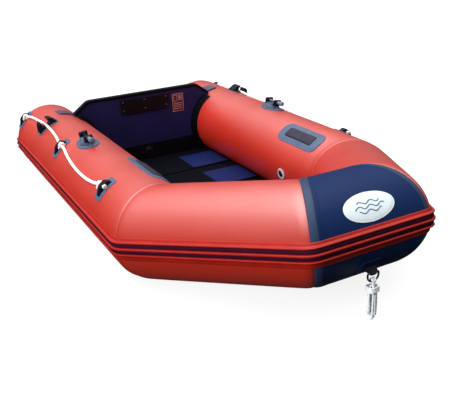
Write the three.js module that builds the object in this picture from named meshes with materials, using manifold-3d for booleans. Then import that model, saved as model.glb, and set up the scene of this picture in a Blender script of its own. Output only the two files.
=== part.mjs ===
// An inflatable dinghy on its two side tubes: a polygon-bowed air tube, a slatted floor,
// a wooden transom with an outboard pad, and the fittings on the tubes.
// Millimetres, +Z up, bow towards -Y, port at +X, origin under the middle of the boat.
import * as THREE from 'three';
import { mergeVertices } from 'three/addons/utils/BufferGeometryUtils.js';
import Module from 'manifold-3d';

const wasm = await Module();
wasm.setup();

// ---------------------------------------------------------------- driving dimensions
const GAP = 0.3;                    // clearance between touching pieces
const TUBE_R = 180;                 // every air tube
const TUBE_SIDES = 48;
const HALF_SPACING = 468;           // centre line to a side tube's axis
const CORNER_Y = -496;              // where a side tube meets its bow quarter
const NOSE_HALF = 142;              // half the nose tube's axis
const NOSE_Y = -1018;
const BOW_RISE = 112;               // the nose sits this much higher than the side tubes
const TUBE_END_Y = 1004;            // the side tube's full section ends here
const CONE_LENGTH = 200;
const CONE_END_R = 70;
const STRAKE_T = { top: 38, bottom: -48 };   // the rubbing strake's edges, along the tube's skin
const STRAKE_NOSE_ANGLE = 82.5;     // from the nose tube's top; the strake is level with the axis elsewhere

const TRANSOM = {
  y: 735, thick: 24, foot: 47.5, shoulderX: 398, shoulderZ: 352, topX: 317, topZ: 411,
};
const BOLT_R = 3;
const BOLT_COLUMNS = [-125, 0, 125];
const BOLT_ROWS = [326, 374];
const BOLT_POCKET_R = 8.8;            // the pads' recesses for the bolts' heads and nuts
const PAD = { inner: 8, innerWeb: 2.4, outer: 10, outerWeb: 3 };
const DRAIN = { z: 85, bore: 10, flange: 24 };

const BOTTOM = { top: 44, thick: 3, contact: 140 };  // contact: where the skin leaves the tube, degrees
const SLAT = {
  z0: 44.6, thick: 12, halfWidth: 332, pitch: 299, gap: 14, aftEnd: 653, foreEnd: -452,
};

const ROWLOCK = {
  y: 190, angle: 8, boreR: 8.4, stemR: 8, pinR: 4.5, hornHalf: 38, hornWide: 18, hornTop: 47,
  saddle: 21, pinZ: 35, forkDepth: 40,
};
const OAR_HOLDER = { y: 665, angle: 29.5, length: 56 };
const ANCHORS = {
  aft: { y: 995, angle: 47 },
  middle: { y: 331, angle: 41 },
  front: { y: -292, angle: 41 },
};
const SEAT_PATCH = { y: -238, angle: -32, length: 300, width: 107 };
const VALVE = { y: -201, angle: -97, flangeR: 27, seat: 2.6 };
const LIFELINE_R = 6.5;
const TOW = { angle: 122, bar: 24, barR: 3.4 };
const HANK = { width: 36, thick: 31, foot: 3, tieLow: 113, tieHigh: 137 };
const BADGE = { angle: 51, width: 200, height: 98 };

// ---------------------------------------------------------------- materials
const material = (color, roughness = 0.5, metalness = 0) =>
  new THREE.MeshStandardMaterial({ color, roughness, metalness });
const MAT = {
  red: material(0xd2412c, 0.35),
  navy: material(0x1c2f55, 0.38),
  strakeRed: material(0xc8382a, 0.45),
  strakeDark: material(0x2c1524, 0.5),
  patch: material(0x6d86a8, 0.6),
  rubber: material(0x1c1c2e, 0.55),
  bottom: material(0x1b2238, 0.5),
  slat: material(0x1d2c60, 0.45),
  board: material(0x1b1a3d, 0.5),
  padDark: material(0x21141a, 0.6),
  steel: material(0xc9ccd0, 0.25, 1),
  white: material(0xf2f2ee, 0.4),
  label: material(0x8a1d22, 0.45),
  rope: material(0xf4efe6, 0.85),
  valve: material(0xb9bec6, 0.5),
};

// ---------------------------------------------------------------- solids
const rad = THREE.MathUtils.degToRad;
const vec = (x, y, z) => new THREE.Vector3(x, y, z);

function toSolid(geometry) {
  const bare = geometry.clone();
  bare.deleteAttribute('normal');
  bare.deleteAttribute('uv');
  const merged = mergeVertices(bare, 1e-4);
  return new wasm.Manifold(new wasm.Mesh({
    numProp: 3,
    vertProperties: new Float32Array(merged.attributes.position.array),
    triVerts: new Uint32Array(merged.index.array),
  }));
}

function toGeometry(solid) {
  const mesh = solid.getMesh();
  const geometry = new THREE.BufferGeometry();
  const positions = new Float32Array(mesh.vertProperties);
  geometry.setAttribute('position', new THREE.BufferAttribute(positions, 3));
  geometry.setIndex(new THREE.BufferAttribute(new Uint32Array(mesh.triVerts), 1));
  geometry.computeVertexNormals();
  return geometry;
}

const join = (...parts) => toGeometry(parts.map(toSolid).reduce((a, b) => a.add(b)));
const cut = (body, ...tools) =>
  toGeometry(tools.map(toSolid).reduce((a, b) => a.subtract(b), toSolid(body)));
const common = (a, b) => toGeometry(toSolid(a).intersect(toSolid(b)));

function rod(radius, length, sides = 20) {        // along local Z, from 0
  return new THREE.CylinderGeometry(radius, radius, length, sides)
    .rotateX(Math.PI / 2)
    .translate(0, 0, length / 2);
}

function slab(x0, x1, y0, y1, z0, z1) {
  return new THREE.BoxGeometry(x1 - x0, y1 - y0, z1 - z0)
    .translate((x0 + x1) / 2, (y0 + y1) / 2, (z0 + z1) / 2);
}

function lathe(outline, sides = 24) {              // outline in (radius, height), turned about local Z
  const points = outline.map(([r, h]) => new THREE.Vector2(r, h));
  return new THREE.LatheGeometry(points, sides).rotateX(Math.PI / 2);
}

function polygon(points) {
  return new THREE.Shape(points.map(([x, y]) => new THREE.Vector2(x, y)));
}

function roundedBox(width, height, radius) {
  const shape = new THREE.Shape();
  const [w, h] = [width / 2, height / 2];
  shape.moveTo(-w + radius, -h);
  shape.lineTo(w - radius, -h);
  shape.absarc(w - radius, -h + radius, radius, -Math.PI / 2, 0);
  shape.lineTo(w, h - radius);
  shape.absarc(w - radius, h - radius, radius, 0, Math.PI / 2);
  shape.lineTo(-w + radius, h);
  shape.absarc(-w + radius, h - radius, radius, Math.PI / 2, Math.PI);
  shape.lineTo(-w, -h + radius);
  shape.absarc(-w + radius, -h + radius, radius, Math.PI, 1.5 * Math.PI);
  return shape;
}

function ellipse(a, b, sides = 36) {
  const points = [];
  for (let k = 0; k < sides; k++) {
    const t = 2 * Math.PI * k / sides;
    points.push([a * Math.cos(t), b * Math.sin(t)]);
  }
  return polygon(points);
}

const extrude = (shape, depth, segments = 4) =>
  new THREE.ExtrudeGeometry(shape, { depth, bevelEnabled: false, curveSegments: segments });

function slot(x0, x1, y, radius, sides = 6) {
  const ring = [];
  for (const [x, start] of [[Math.max(x0, x1), -Math.PI / 2], [Math.min(x0, x1), Math.PI / 2]]) {
    for (let k = 0; k <= sides; k++) {
      const a = start + Math.PI * k / sides;
      ring.push(new THREE.Vector2(x + radius * Math.cos(a), y + radius * Math.sin(a)));
    }
  }
  return new THREE.Path(ring);
}

function hole(x, y, radius, sides = 12) {
  const ring = [];
  for (let k = 0; k < sides; k++) {
    const a = -2 * Math.PI * k / sides;
    ring.push(new THREE.Vector2(x + radius * Math.cos(a), y + radius * Math.sin(a)));
  }
  return new THREE.Path(ring);
}

// ---------------------------------------------------------------- the hull's line of tubes
// From the starboard stern round the bow to the port stern.
const axisPoints = [
  vec(-HALF_SPACING, TUBE_END_Y, TUBE_R),
  vec(-HALF_SPACING, CORNER_Y, TUBE_R),
  vec(-NOSE_HALF, NOSE_Y, TUBE_R + BOW_RISE),
  vec(NOSE_HALF, NOSE_Y, TUBE_R + BOW_RISE),
  vec(HALF_SPACING, CORNER_Y, TUBE_R),
  vec(HALF_SPACING, TUBE_END_Y, TUBE_R),
];
const along = (i) => axisPoints[i + 1].clone().sub(axisPoints[i]).normalize();
const outward = (i) => vec(along(i).y, -along(i).x, 0).normalize();
function upward(i) {
  const up = outward(i).cross(along(i)).normalize();
  return up.z < 0 ? up.negate() : up;
}

// A unit vector across segment i, at an angle from the top, outboard positive.
function radial(i, angle) {
  return outward(i).multiplyScalar(Math.sin(angle)).addScaledVector(upward(i), Math.cos(angle));
}

// The plane where segment i - 1 meets segment i, or a square end.
function mitre(i) {
  if (i === 0) return along(0);
  if (i === axisPoints.length - 1) return along(i - 1);
  return along(i - 1).add(along(i)).normalize();
}

// A point at radius r and an angle on segment i, slid along the segment onto the plane at its end k.
function onMitre(i, k, r, angle) {
  const spoke = radial(i, angle).multiplyScalar(r);
  const normal = mitre(k);
  const slide = -spoke.dot(normal) / along(i).dot(normal);
  return axisPoints[k].clone().add(spoke).addScaledVector(along(i), slide);
}

// The angle that a line at `angle` on one segment has where it carries on along its neighbour.
function carriedAngle(from, to, k, angle) {
  const offset = onMitre(from, k, TUBE_R, angle).sub(axisPoints[k]);
  offset.addScaledVector(along(to), -offset.dot(along(to)));
  return Math.atan2(offset.dot(outward(to)), offset.dot(radial(to, 0)));
}

// A long block on the far side of mitre k, turned to face it, to trim a tube with.
function mitreBlock(k, side) {
  const block = slab(-700, 700, -700, 700, -GAP / 2, 900);
  const aim = new THREE.Quaternion().setFromUnitVectors(vec(0, 0, 1), mitre(k).multiplyScalar(side));
  return block.applyQuaternion(aim).translate(...axisPoints[k].toArray());
}

const parts = new THREE.Group();
function add(name, geometry, look, parent = parts) {
  const mesh = new THREE.Mesh(geometry, look);
  mesh.name = name;
  parent.add(mesh);
  return mesh;
}

// A full tube of radius TUBE_R lying along +Y, with a corner of its section at the very bottom.
function straightTube(y0, y1) {
  return new THREE.CylinderGeometry(TUBE_R, TUBE_R, y1 - y0, TUBE_SIDES)
    .translate(0, (y0 + y1) / 2, 0);
}

function sideTube() {
  const tip = TUBE_END_Y + CONE_LENGTH;
  const outline = [
    [0, CORNER_Y - 250],
    [TUBE_R, CORNER_Y - 250],
    [TUBE_R, TUBE_END_Y],
    [TUBE_R - 12, TUBE_END_Y + 45],
    [CONE_END_R + 22, tip - 32],
    [CONE_END_R, tip - 4],
    [CONE_END_R - 26, tip + 5],
    [0, tip + 7],
  ];
  return new THREE.LatheGeometry(outline.map(([r, y]) => new THREE.Vector2(r, y)), TUBE_SIDES);
}

function addTubes() {
  for (const [side, sign, mitreIndex] of [['starboard', -1, 1], ['port', 1, 4]]) {
    const body = sideTube().translate(sign * HALF_SPACING, 0, TUBE_R);
    const pocket = rod(VALVE.flangeR + 0.4, 60, 20)
      .translate(0, 0, TUBE_R - VALVE.seat);
    pocket.applyMatrix4(stationMatrix(sign, VALVE.y, VALVE.angle));
    add(`side_tube_${side}`, cut(body, mitreBlock(mitreIndex, -sign), pocket), MAT.red);
  }
  for (const [side, i] of [['starboard', 1], ['port', 3]]) {
    const length = axisPoints[i].distanceTo(axisPoints[i + 1]);
    const body = straightTube(-220, length + 220);
    // keep the section's own up direction level so that neighbours match
    const frame = new THREE.Matrix4().makeBasis(outward(i), along(i), radial(i, 0));
    body.applyMatrix4(frame).translate(...axisPoints[i].toArray());
    add(`bow_quarter_${side}`, cut(body, mitreBlock(i, -1), mitreBlock(i + 1, 1)), MAT.red);
  }
  const nose = straightTube(-220, 2 * NOSE_HALF + 220)
    .rotateZ(-Math.PI / 2)
    .translate(...axisPoints[2].toArray());
  add('bow_nose_tube', cut(nose, mitreBlock(2, -1), mitreBlock(3, 1)), MAT.navy);
}

// ---------------------------------------------------------------- rubbing strake
// A closed section swept round the outside of the tubes. Section points are
// [distance along the skin above the strake's middle, height off the skin].
function hullSweep(section) {
  const last = axisPoints.length - 2;
  const middle = [];                                  // the strake's angle at each segment's ends
  const nose = rad(STRAKE_NOSE_ANGLE);
  for (let i = 0; i <= last; i++) middle.push([Math.PI / 2, Math.PI / 2]);
  middle[1] = [carriedAngle(0, 1, 1, Math.PI / 2), carriedAngle(2, 1, 2, nose)];
  middle[2] = [nose, nose];
  middle[3] = [carriedAngle(2, 3, 3, nose), carriedAngle(4, 3, 4, Math.PI / 2)];
  const rings = [];
  for (let i = 0; i <= last; i++) {
    const steps = i === 1 || i === 3 ? 6 : 1;
    for (let s = i === 0 ? 0 : 1; s <= steps; s++) {
      const f = s / steps;
      const turn = middle[i][0] + (middle[i][1] - middle[i][0]) * f;
      rings.push(section.map(([t, h]) => {
        const angle = turn - t / TUBE_R;
        const a = onMitre(i, i, TUBE_R + h, angle);
        const b = onMitre(i, i + 1, TUBE_R + h, angle);
        return a.lerp(b, f);
      }));
    }
  }
  return loft(rings, section);
}

// Skins a list of matching rings and closes both ends with the section's own triangles.
function loft(rings, section) {
  const n = section.length;
  const position = rings.flat().flatMap((p) => [p.x, p.y, p.z]);
  const index = [];
  for (let k = 0; k + 1 < rings.length; k++) {
    for (let j = 0; j < n; j++) {
      const a = k * n + j;
      const b = k * n + (j + 1) % n;
      index.push(a, b, b + n, a, b + n, a + n);
    }
  }
  const flat = section.map(([x, y]) => new THREE.Vector2(x, y));
  const caps = THREE.ShapeUtils.triangulateShape(flat, []);
  const end = (rings.length - 1) * n;
  for (const [a, b, c] of caps) {
    index.push(a, c, b, end + a, end + b, end + c);
  }
  const geometry = new THREE.BufferGeometry();
  geometry.setAttribute('position', new THREE.Float32BufferAttribute(position, 3));
  geometry.setIndex(index);
  geometry.computeVertexNormals();
  return facingOut(geometry);
}

function facingOut(geometry) {
  const p = geometry.attributes.position;
  const index = geometry.index.array;
  let volume = 0;
  const [a, b, c] = [vec(), vec(), vec()];
  for (let i = 0; i < index.length; i += 3) {
    a.fromBufferAttribute(p, index[i]);
    b.fromBufferAttribute(p, index[i + 1]);
    c.fromBufferAttribute(p, index[i + 2]);
    volume += a.dot(b.cross(c));
  }
  if (volume < 0) {
    for (let i = 0; i < index.length; i += 3) {
      [index[i + 1], index[i + 2]] = [index[i + 2], index[i + 1]];
    }
  }
  geometry.computeVertexNormals();
  return geometry;
}

function addStrake() {
  const back = [];
  const steps = 6;
  for (let k = 0; k <= steps; k++) {
    const t = STRAKE_T.bottom + (STRAKE_T.top - STRAKE_T.bottom) * k / steps;
    back.push([t, 0.45]);
  }
  const front = [
    [STRAKE_T.top, 2],
    [27, 3.5], [26, 9], [24.5, 12], [20.5, 12], [19, 9], [18.8, 5],        // upper rib
    [4.2, 5], [4, 10], [2.5, 13], [-2.5, 13], [-4, 10], [-4.2, 5],         // middle rib
    [-18.8, 5], [-19, 9], [-20.5, 12], [-24.5, 12], [-26, 9], [-27, 3.5],  // lower rib
    [STRAKE_T.bottom, 2],
  ];
  add('rub_strake', hullSweep([...back, ...front]), MAT.strakeRed);
  const strip = (t0, t1) => [[t0, 5.35], [t1, 5.35], [t1, 8], [(t0 + t1) / 2, 8.8], [t0, 8]];
  add('strake_inlay_upper', hullSweep(strip(4.6, 18.4)), MAT.strakeDark);
  add('strake_inlay_lower', hullSweep(strip(-18.4, -4.6)), MAT.strakeDark);
}

// ---------------------------------------------------------------- places on the tubes
// Local X runs aft along the side tube, local Z straight out of it at `angle` from the top
// (outboard positive), and the local origin is on the tube's axis.
function stationMatrix(sign, y, angle) {
  const z = vec(sign * Math.sin(rad(angle)), 0, Math.cos(rad(angle)));
  const x = vec(0, 1, 0);
  const frame = new THREE.Matrix4().makeBasis(x, z.clone().cross(x), z);
  return frame.setPosition(sign * HALF_SPACING, y, TUBE_R);
}

function noseMatrix(angle) {
  const z = vec(0, -Math.sin(rad(angle)), Math.cos(rad(angle)));
  const x = vec(1, 0, 0);
  const frame = new THREE.Matrix4().makeBasis(x, z.clone().cross(x), z);
  return frame.setPosition(0, NOSE_Y, TUBE_R + BOW_RISE);
}

function station(matrix) {
  const group = new THREE.Group();
  group.applyMatrix4(matrix);
  parts.add(group);
  return group;
}

// A skin over the tube between two heights and two angles about local X, from x0 to x1.
function shell(h0, h1, angle0, angle1, x0, x1, step = 6) {
  const count = Math.ceil(Math.abs(angle1 - angle0) / step);
  const points = [];
  const inner = TUBE_R + h0 + TUBE_R * (1 - Math.cos(rad(step / 2)));
  for (let k = 0; k <= count; k++) {
    const a = rad(angle0 + (angle1 - angle0) * k / count);
    points.push([Math.sin(a) * (TUBE_R + h1), Math.cos(a) * (TUBE_R + h1)]);
  }
  for (let k = count; k >= 0; k--) {
    const a = rad(angle0 + (angle1 - angle0) * k / count);
    points.push([Math.sin(a) * inner, Math.cos(a) * inner]);
  }
  // the section is drawn in (Y, Z) and run along X
  const swap = new THREE.Matrix4().makeBasis(vec(0, 1, 0), vec(0, 0, 1), vec(1, 0, 0));
  const skin = extrude(polygon(points), x1 - x0).applyMatrix4(swap).translate(x0, 0, 0);
  return facingOut(mergeVertices(stripped(skin), 1e-4));
}

function stripped(geometry) {
  geometry.deleteAttribute('normal');
  geometry.deleteAttribute('uv');
  return geometry;
}

// A thin patch of any outline, bent round the tube.
function patch(outline, halfAngle, halfLength, h0, h1) {
  const block = extrude(outline, 60, 2).translate(0, 0, TUBE_R - 30);
  return common(block, shell(h0, h1, -halfAngle, halfAngle, -halfLength - 5, halfLength + 5));
}

// ---------------------------------------------------------------- bottom and floor
function addBottom() {
  const a = rad(BOTTOM.contact);
  const clear = TUBE_R + 1.2;
  const halfMain = HALF_SPACING - Math.sqrt(clear ** 2 - (TUBE_R - BOTTOM.top) ** 2) - 0.5;
  const low = BOTTOM.top - BOTTOM.thick;
  const flat = slab(-halfMain, halfMain, CORNER_Y + 20, TRANSOM.y + 40, low, BOTTOM.top);
  add('hull_bottom', flat, MAT.bottom);

  // the bow panel climbs from the flat bottom to the underside of the nose
  const inner = (i, k) => onMitre(i, k, TUBE_R + 6, -a);
  const [p, q] = [inner(1, 1), inner(1, 2)];
  const slope = Math.atan2(q.z - p.z, p.y - q.y);
  const run = Math.hypot(q.z - p.z, p.y - q.y) - 18;
  const wide = halfMain - 24;
  const narrow = Math.abs(q.x) - 6;
  const shape = polygon([[-wide, 0], [wide, 0], [narrow, run], [-narrow, run]]);
  const panel = extrude(shape, BOTTOM.thick).rotateX(slope).translate(0, 0, low).rotateZ(Math.PI);
  add('bow_bottom', panel.translate(0, CORNER_Y + 18, 0), MAT.bottom);
}

function addFloor() {
  for (let k = 0; k < 4; k++) {
    const aft = SLAT.aftEnd - k * SLAT.pitch;
    const fore = Math.max(aft - SLAT.pitch + SLAT.gap, SLAT.foreEnd);
    const shape = roundedBox(2 * SLAT.halfWidth, aft - fore, 10);
    const slat = extrude(shape, SLAT.thick, 3).translate(0, (aft + fore) / 2, SLAT.z0);
    add(`floor_slat_${k + 1}`, slat, MAT.slat);
  }
}

// ---------------------------------------------------------------- transom
// A shape drawn in (X, Z) and given thickness aft from yFront.
function upright(shape, depth, yFront, segments = 6) {
  return extrude(shape, depth, segments).rotateX(Math.PI / 2).translate(0, yFront + depth, 0);
}

function transomOutline() {
  const r = TUBE_R + 1.2;
  const start = Math.asin((TRANSOM.foot - TUBE_R) / r);
  const end = Math.PI - Math.acos((HALF_SPACING - TRANSOM.shoulderX) / r);
  const shape = new THREE.Shape();
  const footX = HALF_SPACING - Math.cos(start) * r;
  shape.moveTo(-footX, TRANSOM.foot);
  shape.lineTo(footX, TRANSOM.foot);
  shape.absarc(HALF_SPACING, TUBE_R, r, Math.PI - start, end, true);
  shape.lineTo(TRANSOM.topX, TRANSOM.topZ);
  shape.lineTo(-TRANSOM.topX, TRANSOM.topZ);
  shape.absarc(-HALF_SPACING, TUBE_R, r, Math.PI - end, start, true);
  return shape;
}

function boltHoles(shape, radius = BOLT_R + 0.4) {
  for (const x of BOLT_COLUMNS) {
    for (const z of BOLT_ROWS) shape.holes.push(hole(x, z, radius));
  }
  return shape;
}

// A pad with a recess round each bolt. The web is what the heads or nuts press on.
function boltedPad(outline, web0, web1, face0, face1) {
  const web = upright(boltHoles(polygon(outline)), web1 - web0, web0);
  const face = upright(boltHoles(polygon(outline), BOLT_POCKET_R), face1 - face0, face0);
  return join(web, face);
}

function addTransom() {
  const front = TRANSOM.y - TRANSOM.thick / 2;
  const back = TRANSOM.y + TRANSOM.thick / 2;
  const outline = boltHoles(transomOutline());
  outline.holes.push(hole(0, DRAIN.z, DRAIN.bore + 3.9, 18));
  add('transom_board', upright(outline, TRANSOM.thick, front, 9), MAT.board);

  // a rubber edge along the top and both shoulders
  const { topX, topZ } = TRANSOM;
  const edge = polygon([
    [-392, 357.2], [-topX, topZ + GAP], [topX, topZ + GAP], [392, 357.2],
    [394, 360.5], [topX + 2, topZ + 5], [-topX - 2, topZ + 5], [-394, 360.5],
  ]);
  add('transom_edge_trim', upright(edge, TRANSOM.thick + 6, front - 3), MAT.rubber);

  const footStrip = polygon([[-308, 50], [308, 50], [296, 84], [289, 121], [-289, 121], [-296, 84]]);
  footStrip.holes.push(hole(0, DRAIN.z, DRAIN.flange + 1.5, 20));
  add('transom_foot_strip', upright(footStrip, 2.5, front - GAP - 2.5), MAT.rubber);

  const innerOutline = [[-140, 310], [140, 310], [140, 388], [-140, 388]];
  const near = front - GAP;
  const inner = boltedPad(innerOutline, near - PAD.innerWeb, near, near - PAD.inner, near - PAD.innerWeb);
  add('motor_pad_inner', inner, MAT.padDark);
  const outerOutline = [[-140, 262], [140, 262], [140, 396], [-140, 396]];
  const far = back + GAP;
  const outer = boltedPad(outerOutline, far, far + PAD.outerWeb, far + PAD.outerWeb, far + PAD.outer);
  add('motor_pad_outer', outer, MAT.rubber);
  addBolts(near - PAD.innerWeb - GAP, far + PAD.outerWeb + GAP);

  const plate = roundedBox(73, 104, 5);
  add('rating_plate', upright(plate, 1.4, front - GAP - 1.4, 3).translate(199, 0, 326), MAT.label);
  addDrain(front, back);

  for (const [side, sign] of [['starboard', -1], ['port', 1]]) {
    const here = station(stationMatrix(sign, 0, 0));
    // local Y points to starboard, so an inboard angle is positive on the port side
    const flange = shell(0.5, 3, sign * 28, sign * 134, front - 48, front - 3.6);
    add(`transom_flange_${side}`, flange, MAT.rubber, here);
    const holder = shell(0.5, 3, sign * 42, -sign * 4, back + 0.6, back + 100);
    add(`transom_holder_${side}`, holder, MAT.patch, here);
  }
}

function addBolts(y0, y1) {
  let number = 1;
  for (const z of BOLT_ROWS) {
    for (const x of BOLT_COLUMNS) {
      const length = y1 - y0;
      const bolt = lathe([
        [0, -5], [5, -4.2], [8, -0.8], [8, 0], [BOLT_R, 0], [BOLT_R, length],
        [7, length], [7, length + 5.2], [BOLT_R, length + 5.2], [BOLT_R, length + 6.2], [0, length + 6.2],
      ], 8);
      add(`motor_pad_bolt_${number++}`, bolt.rotateX(-Math.PI / 2).translate(x, y0, z), MAT.steel);
    }
  }
}

function addDrain(front, back) {
  const length = back - front;
  const { bore, flange } = DRAIN;
  const socket = lathe([
    [bore, -3], [flange - 3, -3], [flange, -1.6], [flange, -GAP], [bore + 3, -GAP], [bore + 3, length + GAP],
    [flange - 4, length + GAP], [flange - 4, length + 3.5], [bore, length + 3.5], [bore, -3],
  ], 18);
  add('drain_socket', facingOut(mergeVertices(stripped(socket), 1e-4))
    .rotateX(-Math.PI / 2).translate(0, front, DRAIN.z), MAT.valve);
  const plug = lathe([
    [0, -14], [5, -14], [6, -12.5], [6, -7.5], [13, -6.8], [14, -5.4], [14, -3.4],
    [bore - 0.5, -3.4], [bore - 0.8, 18], [0, 18],
  ], 18);
  add('drain_plug', plug.rotateX(-Math.PI / 2).translate(0, front, DRAIN.z), MAT.rubber);
}

// ---------------------------------------------------------------- rowlocks and oar holders
function rowlockBase() {
  const outline = ellipse(82, 48);
  const pad = patch(outline, 18, 84, 0.5, 4.5);
  const foot = TUBE_R + 2.5;
  const head = TUBE_R + 16;
  const boss = lathe([[0, foot], [34, foot], [32, TUBE_R + 10], [27, head], [0, head]], 20);
  return cut(join(pad, boss), rod(ROWLOCK.boreR, 40, 20).translate(0, 0, TUBE_R + 4.6));
}

function rowlockFork() {
  const { hornHalf: c, hornTop: top, saddle, pinZ, forkDepth } = ROWLOCK;
  const w = ROWLOCK.hornWide / 2;
  const yoke = new THREE.Shape();                    // in (X, Z), extruded across
  yoke.moveTo(-c - w, 16.5);
  yoke.lineTo(c + w, 16.5);
  yoke.lineTo(c + w, top - w);
  yoke.absarc(c, top - w, w, 0, Math.PI);
  yoke.lineTo(c - w, saddle + 4);
  yoke.absarc(c - w - 4, saddle + 4, 4, 0, -Math.PI / 2, true);
  yoke.lineTo(-c + w + 4, saddle);
  yoke.absarc(-c + w + 4, saddle + 4, 4, -Math.PI / 2, -Math.PI, true);
  yoke.lineTo(-c + w, top - w);
  yoke.absarc(-c, top - w, w, 0, Math.PI);
  const body = extrude(yoke, forkDepth, 5).rotateX(Math.PI / 2).translate(0, forkDepth / 2, TUBE_R);
  const stem = rod(ROWLOCK.stemR, 13.5, 20).translate(0, 0, TUBE_R + 5);
  const bore = rod(ROWLOCK.pinR + 0.3, 120, 14).rotateY(Math.PI / 2).translate(-60, 0, TUBE_R + pinZ);
  return cut(join(body, stem), bore);
}

function rowlockPin() {
  const r = ROWLOCK.pinR;
  const aft = ROWLOCK.hornHalf + ROWLOCK.hornWide / 2 + 4;
  const face = -ROWLOCK.hornHalf - ROWLOCK.hornWide / 2 - GAP;
  const outline = [
    [0, -87], [7, -87], [11, -84], [11, -73], [8, -70], [7, -69], [7, face],
    [r, face], [r, aft - 2], [r - 2, aft], [0, aft],
  ];
  return lathe(outline, 14)
    .rotateY(Math.PI / 2)
    .translate(0, 0, TUBE_R + ROWLOCK.pinZ);
}

function oarHolder() {
  const half = [
    [0, 3.2], [8, 3.2], [13, 6], [18, 11], [20, 18], [19.5, 26], [16, 34],   // the cradle's inside
    [18, 38], [23, 40], [32, 36], [40, 26], [46, 12], [52, 6],               // round the claw's tip
  ];
  const mirrored = half.slice(1).reverse().map(([y, z]) => [-y, z]);
  const outline = [...half, [52, -12], [-52, -12], ...mirrored];
  const swap = new THREE.Matrix4().makeBasis(vec(0, 1, 0), vec(0, 0, 1), vec(1, 0, 0));
  const claws = extrude(polygon(outline), OAR_HOLDER.length)
    .applyMatrix4(swap)
    .translate(-OAR_HOLDER.length / 2, 0, TUBE_R);
  const outside = shell(0.5, 60, -24, 24, -40, 40);
  const pad = patch(roundedBox(76, 118, 10), 20, 38, 0.5, 3.2);
  return join(common(claws, outside), pad);
}

function addRowlocks() {
  for (const [side, sign] of [['starboard', -1], ['port', 1]]) {
    const here = station(stationMatrix(sign, ROWLOCK.y, ROWLOCK.angle));
    add(`rowlock_base_${side}`, rowlockBase(), MAT.patch, here);
    add(`rowlock_fork_${side}`, rowlockFork(), MAT.rubber, here);
    add(`rowlock_pin_${side}`, rowlockPin(), MAT.rubber, here);
    const holder = station(stationMatrix(sign, OAR_HOLDER.y, OAR_HOLDER.angle));
    add(`oar_holder_${side}`, oarHolder(), MAT.rubber, holder);
  }
}

// ---------------------------------------------------------------- lifelines
function lifelineAnchor(sign) {
  const pad = patch(roundedBox(64, 106, 9), 18, 34, 0.5, 2.8);
  const side = (x) => x * sign;                      // the slot lies towards the tube's top
  const arch = new THREE.Shape();
  arch.moveTo(side(-40), -6);
  arch.lineTo(side(40), -6);
  arch.lineTo(side(38), 1);
  arch.bezierCurveTo(side(32), 10, side(30), 22, side(16), 22);
  arch.lineTo(side(2), 22);
  arch.bezierCurveTo(side(-16), 22, side(-24), 8, side(-38), 1);
  arch.holes.push(slot(side(4), side(15), 10.2, LIFELINE_R + 1, 8));
  const swap = new THREE.Matrix4().makeBasis(vec(0, 1, 0), vec(0, 0, 1), vec(1, 0, 0));
  const bridge = extrude(arch, 26, 5).applyMatrix4(swap).translate(-13, 0, TUBE_R);
  return join(common(bridge, shell(0.8, 60, -20, 20, -20, 20)), pad);
}

// The rope's route, chosen by hand: [y, angle from the tube's top, height of its middle off the skin].
const LIFELINE_ROUTE = [
  [1014, 43, 10.6], [1000, 43, 10.6], [981, 42.6, 10.6], [958, 40.5, 10], [925, 37.2, 7.8], [870, 34.6, 7.3],
  [800, 32.8, 7.5], [745, 31.4, 8.8], [705, 30.6, 10.8], [665, 30.3, 10.9], [625, 30.3, 10.8], [585, 30.5, 8.8],
  [530, 31.2, 7.3], [470, 32.6, 7.3], [415, 34.4, 7.7], [371, 36.2, 9.8], [348, 36.6, 10.6], [331, 36.7, 10.6],
  [314, 36.8, 10.6], [290, 37.3, 10], [250, 39.2, 7.7], [190, 42.4, 7.3], [130, 44.8, 7.3], [60, 46.8, 7.3],
  [-10, 47.8, 7.3], [-80, 47.8, 7.3], [-145, 46.6, 7.3], [-205, 44.2, 7.7], [-250, 41, 9.8], [-274, 39.6, 10.6],
  [-292, 39.2, 10.6], [-303, 39, 10.6],
];

function lifeline(sign) {
  const points = LIFELINE_ROUTE.map(([y, angle, h]) => {
    const r = TUBE_R + h;
    return vec(sign * (HALF_SPACING + Math.sin(rad(angle)) * r), y, TUBE_R + Math.cos(rad(angle)) * r);
  });
  const section = new THREE.Shape();
  section.absarc(0, 0, LIFELINE_R, 0, 2 * Math.PI);
  return new THREE.ExtrudeGeometry(section, {
    steps: 42, bevelEnabled: false, curveSegments: 4, extrudePath: new THREE.CatmullRomCurve3(points),
  });
}

function addLifelines() {
  for (const [side, sign] of [['starboard', -1], ['port', 1]]) {
    for (const [name, place] of Object.entries(ANCHORS)) {
      const here = station(stationMatrix(sign, place.y, place.angle));
      add(`lifeline_anchor_${name}_${side}`, lifelineAnchor(sign), MAT.patch, here);
    }
    add(`lifeline_${side}`, lifeline(sign), MAT.rope);
  }
}

// ---------------------------------------------------------------- seat patches, valves
function seatPatch() {
  const outline = roundedBox(SEAT_PATCH.length, SEAT_PATCH.width, 26);
  const pad = patch(outline, 20, SEAT_PATCH.length / 2, 0.5, 2.8);
  const strap = patch(roundedBox(214, 46, 5), 9, 110, 2, 7);
  return join(pad, strap);
}

function valveBody() {
  const s = TUBE_R - VALVE.seat + GAP;
  const { flangeR } = VALVE;
  return lathe([
    [0, s], [flangeR, s], [flangeR, TUBE_R + 2], [flangeR - 3, TUBE_R + 4.5],
    [18, TUBE_R + 5.5], [16.5, TUBE_R + 4.5], [16.5, TUBE_R - 0.5], [0, TUBE_R - 0.5],
  ], 20);
}

function valveCap() {
  const z = TUBE_R - 0.2;
  const disc = lathe([[0, z], [16, z], [16, z + 3.6], [14.5, z + 5], [0, z + 5]], 20);
  return join(disc, slab(-12, 12, -2.6, 2.6, z + 4, z + 9));
}

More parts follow.
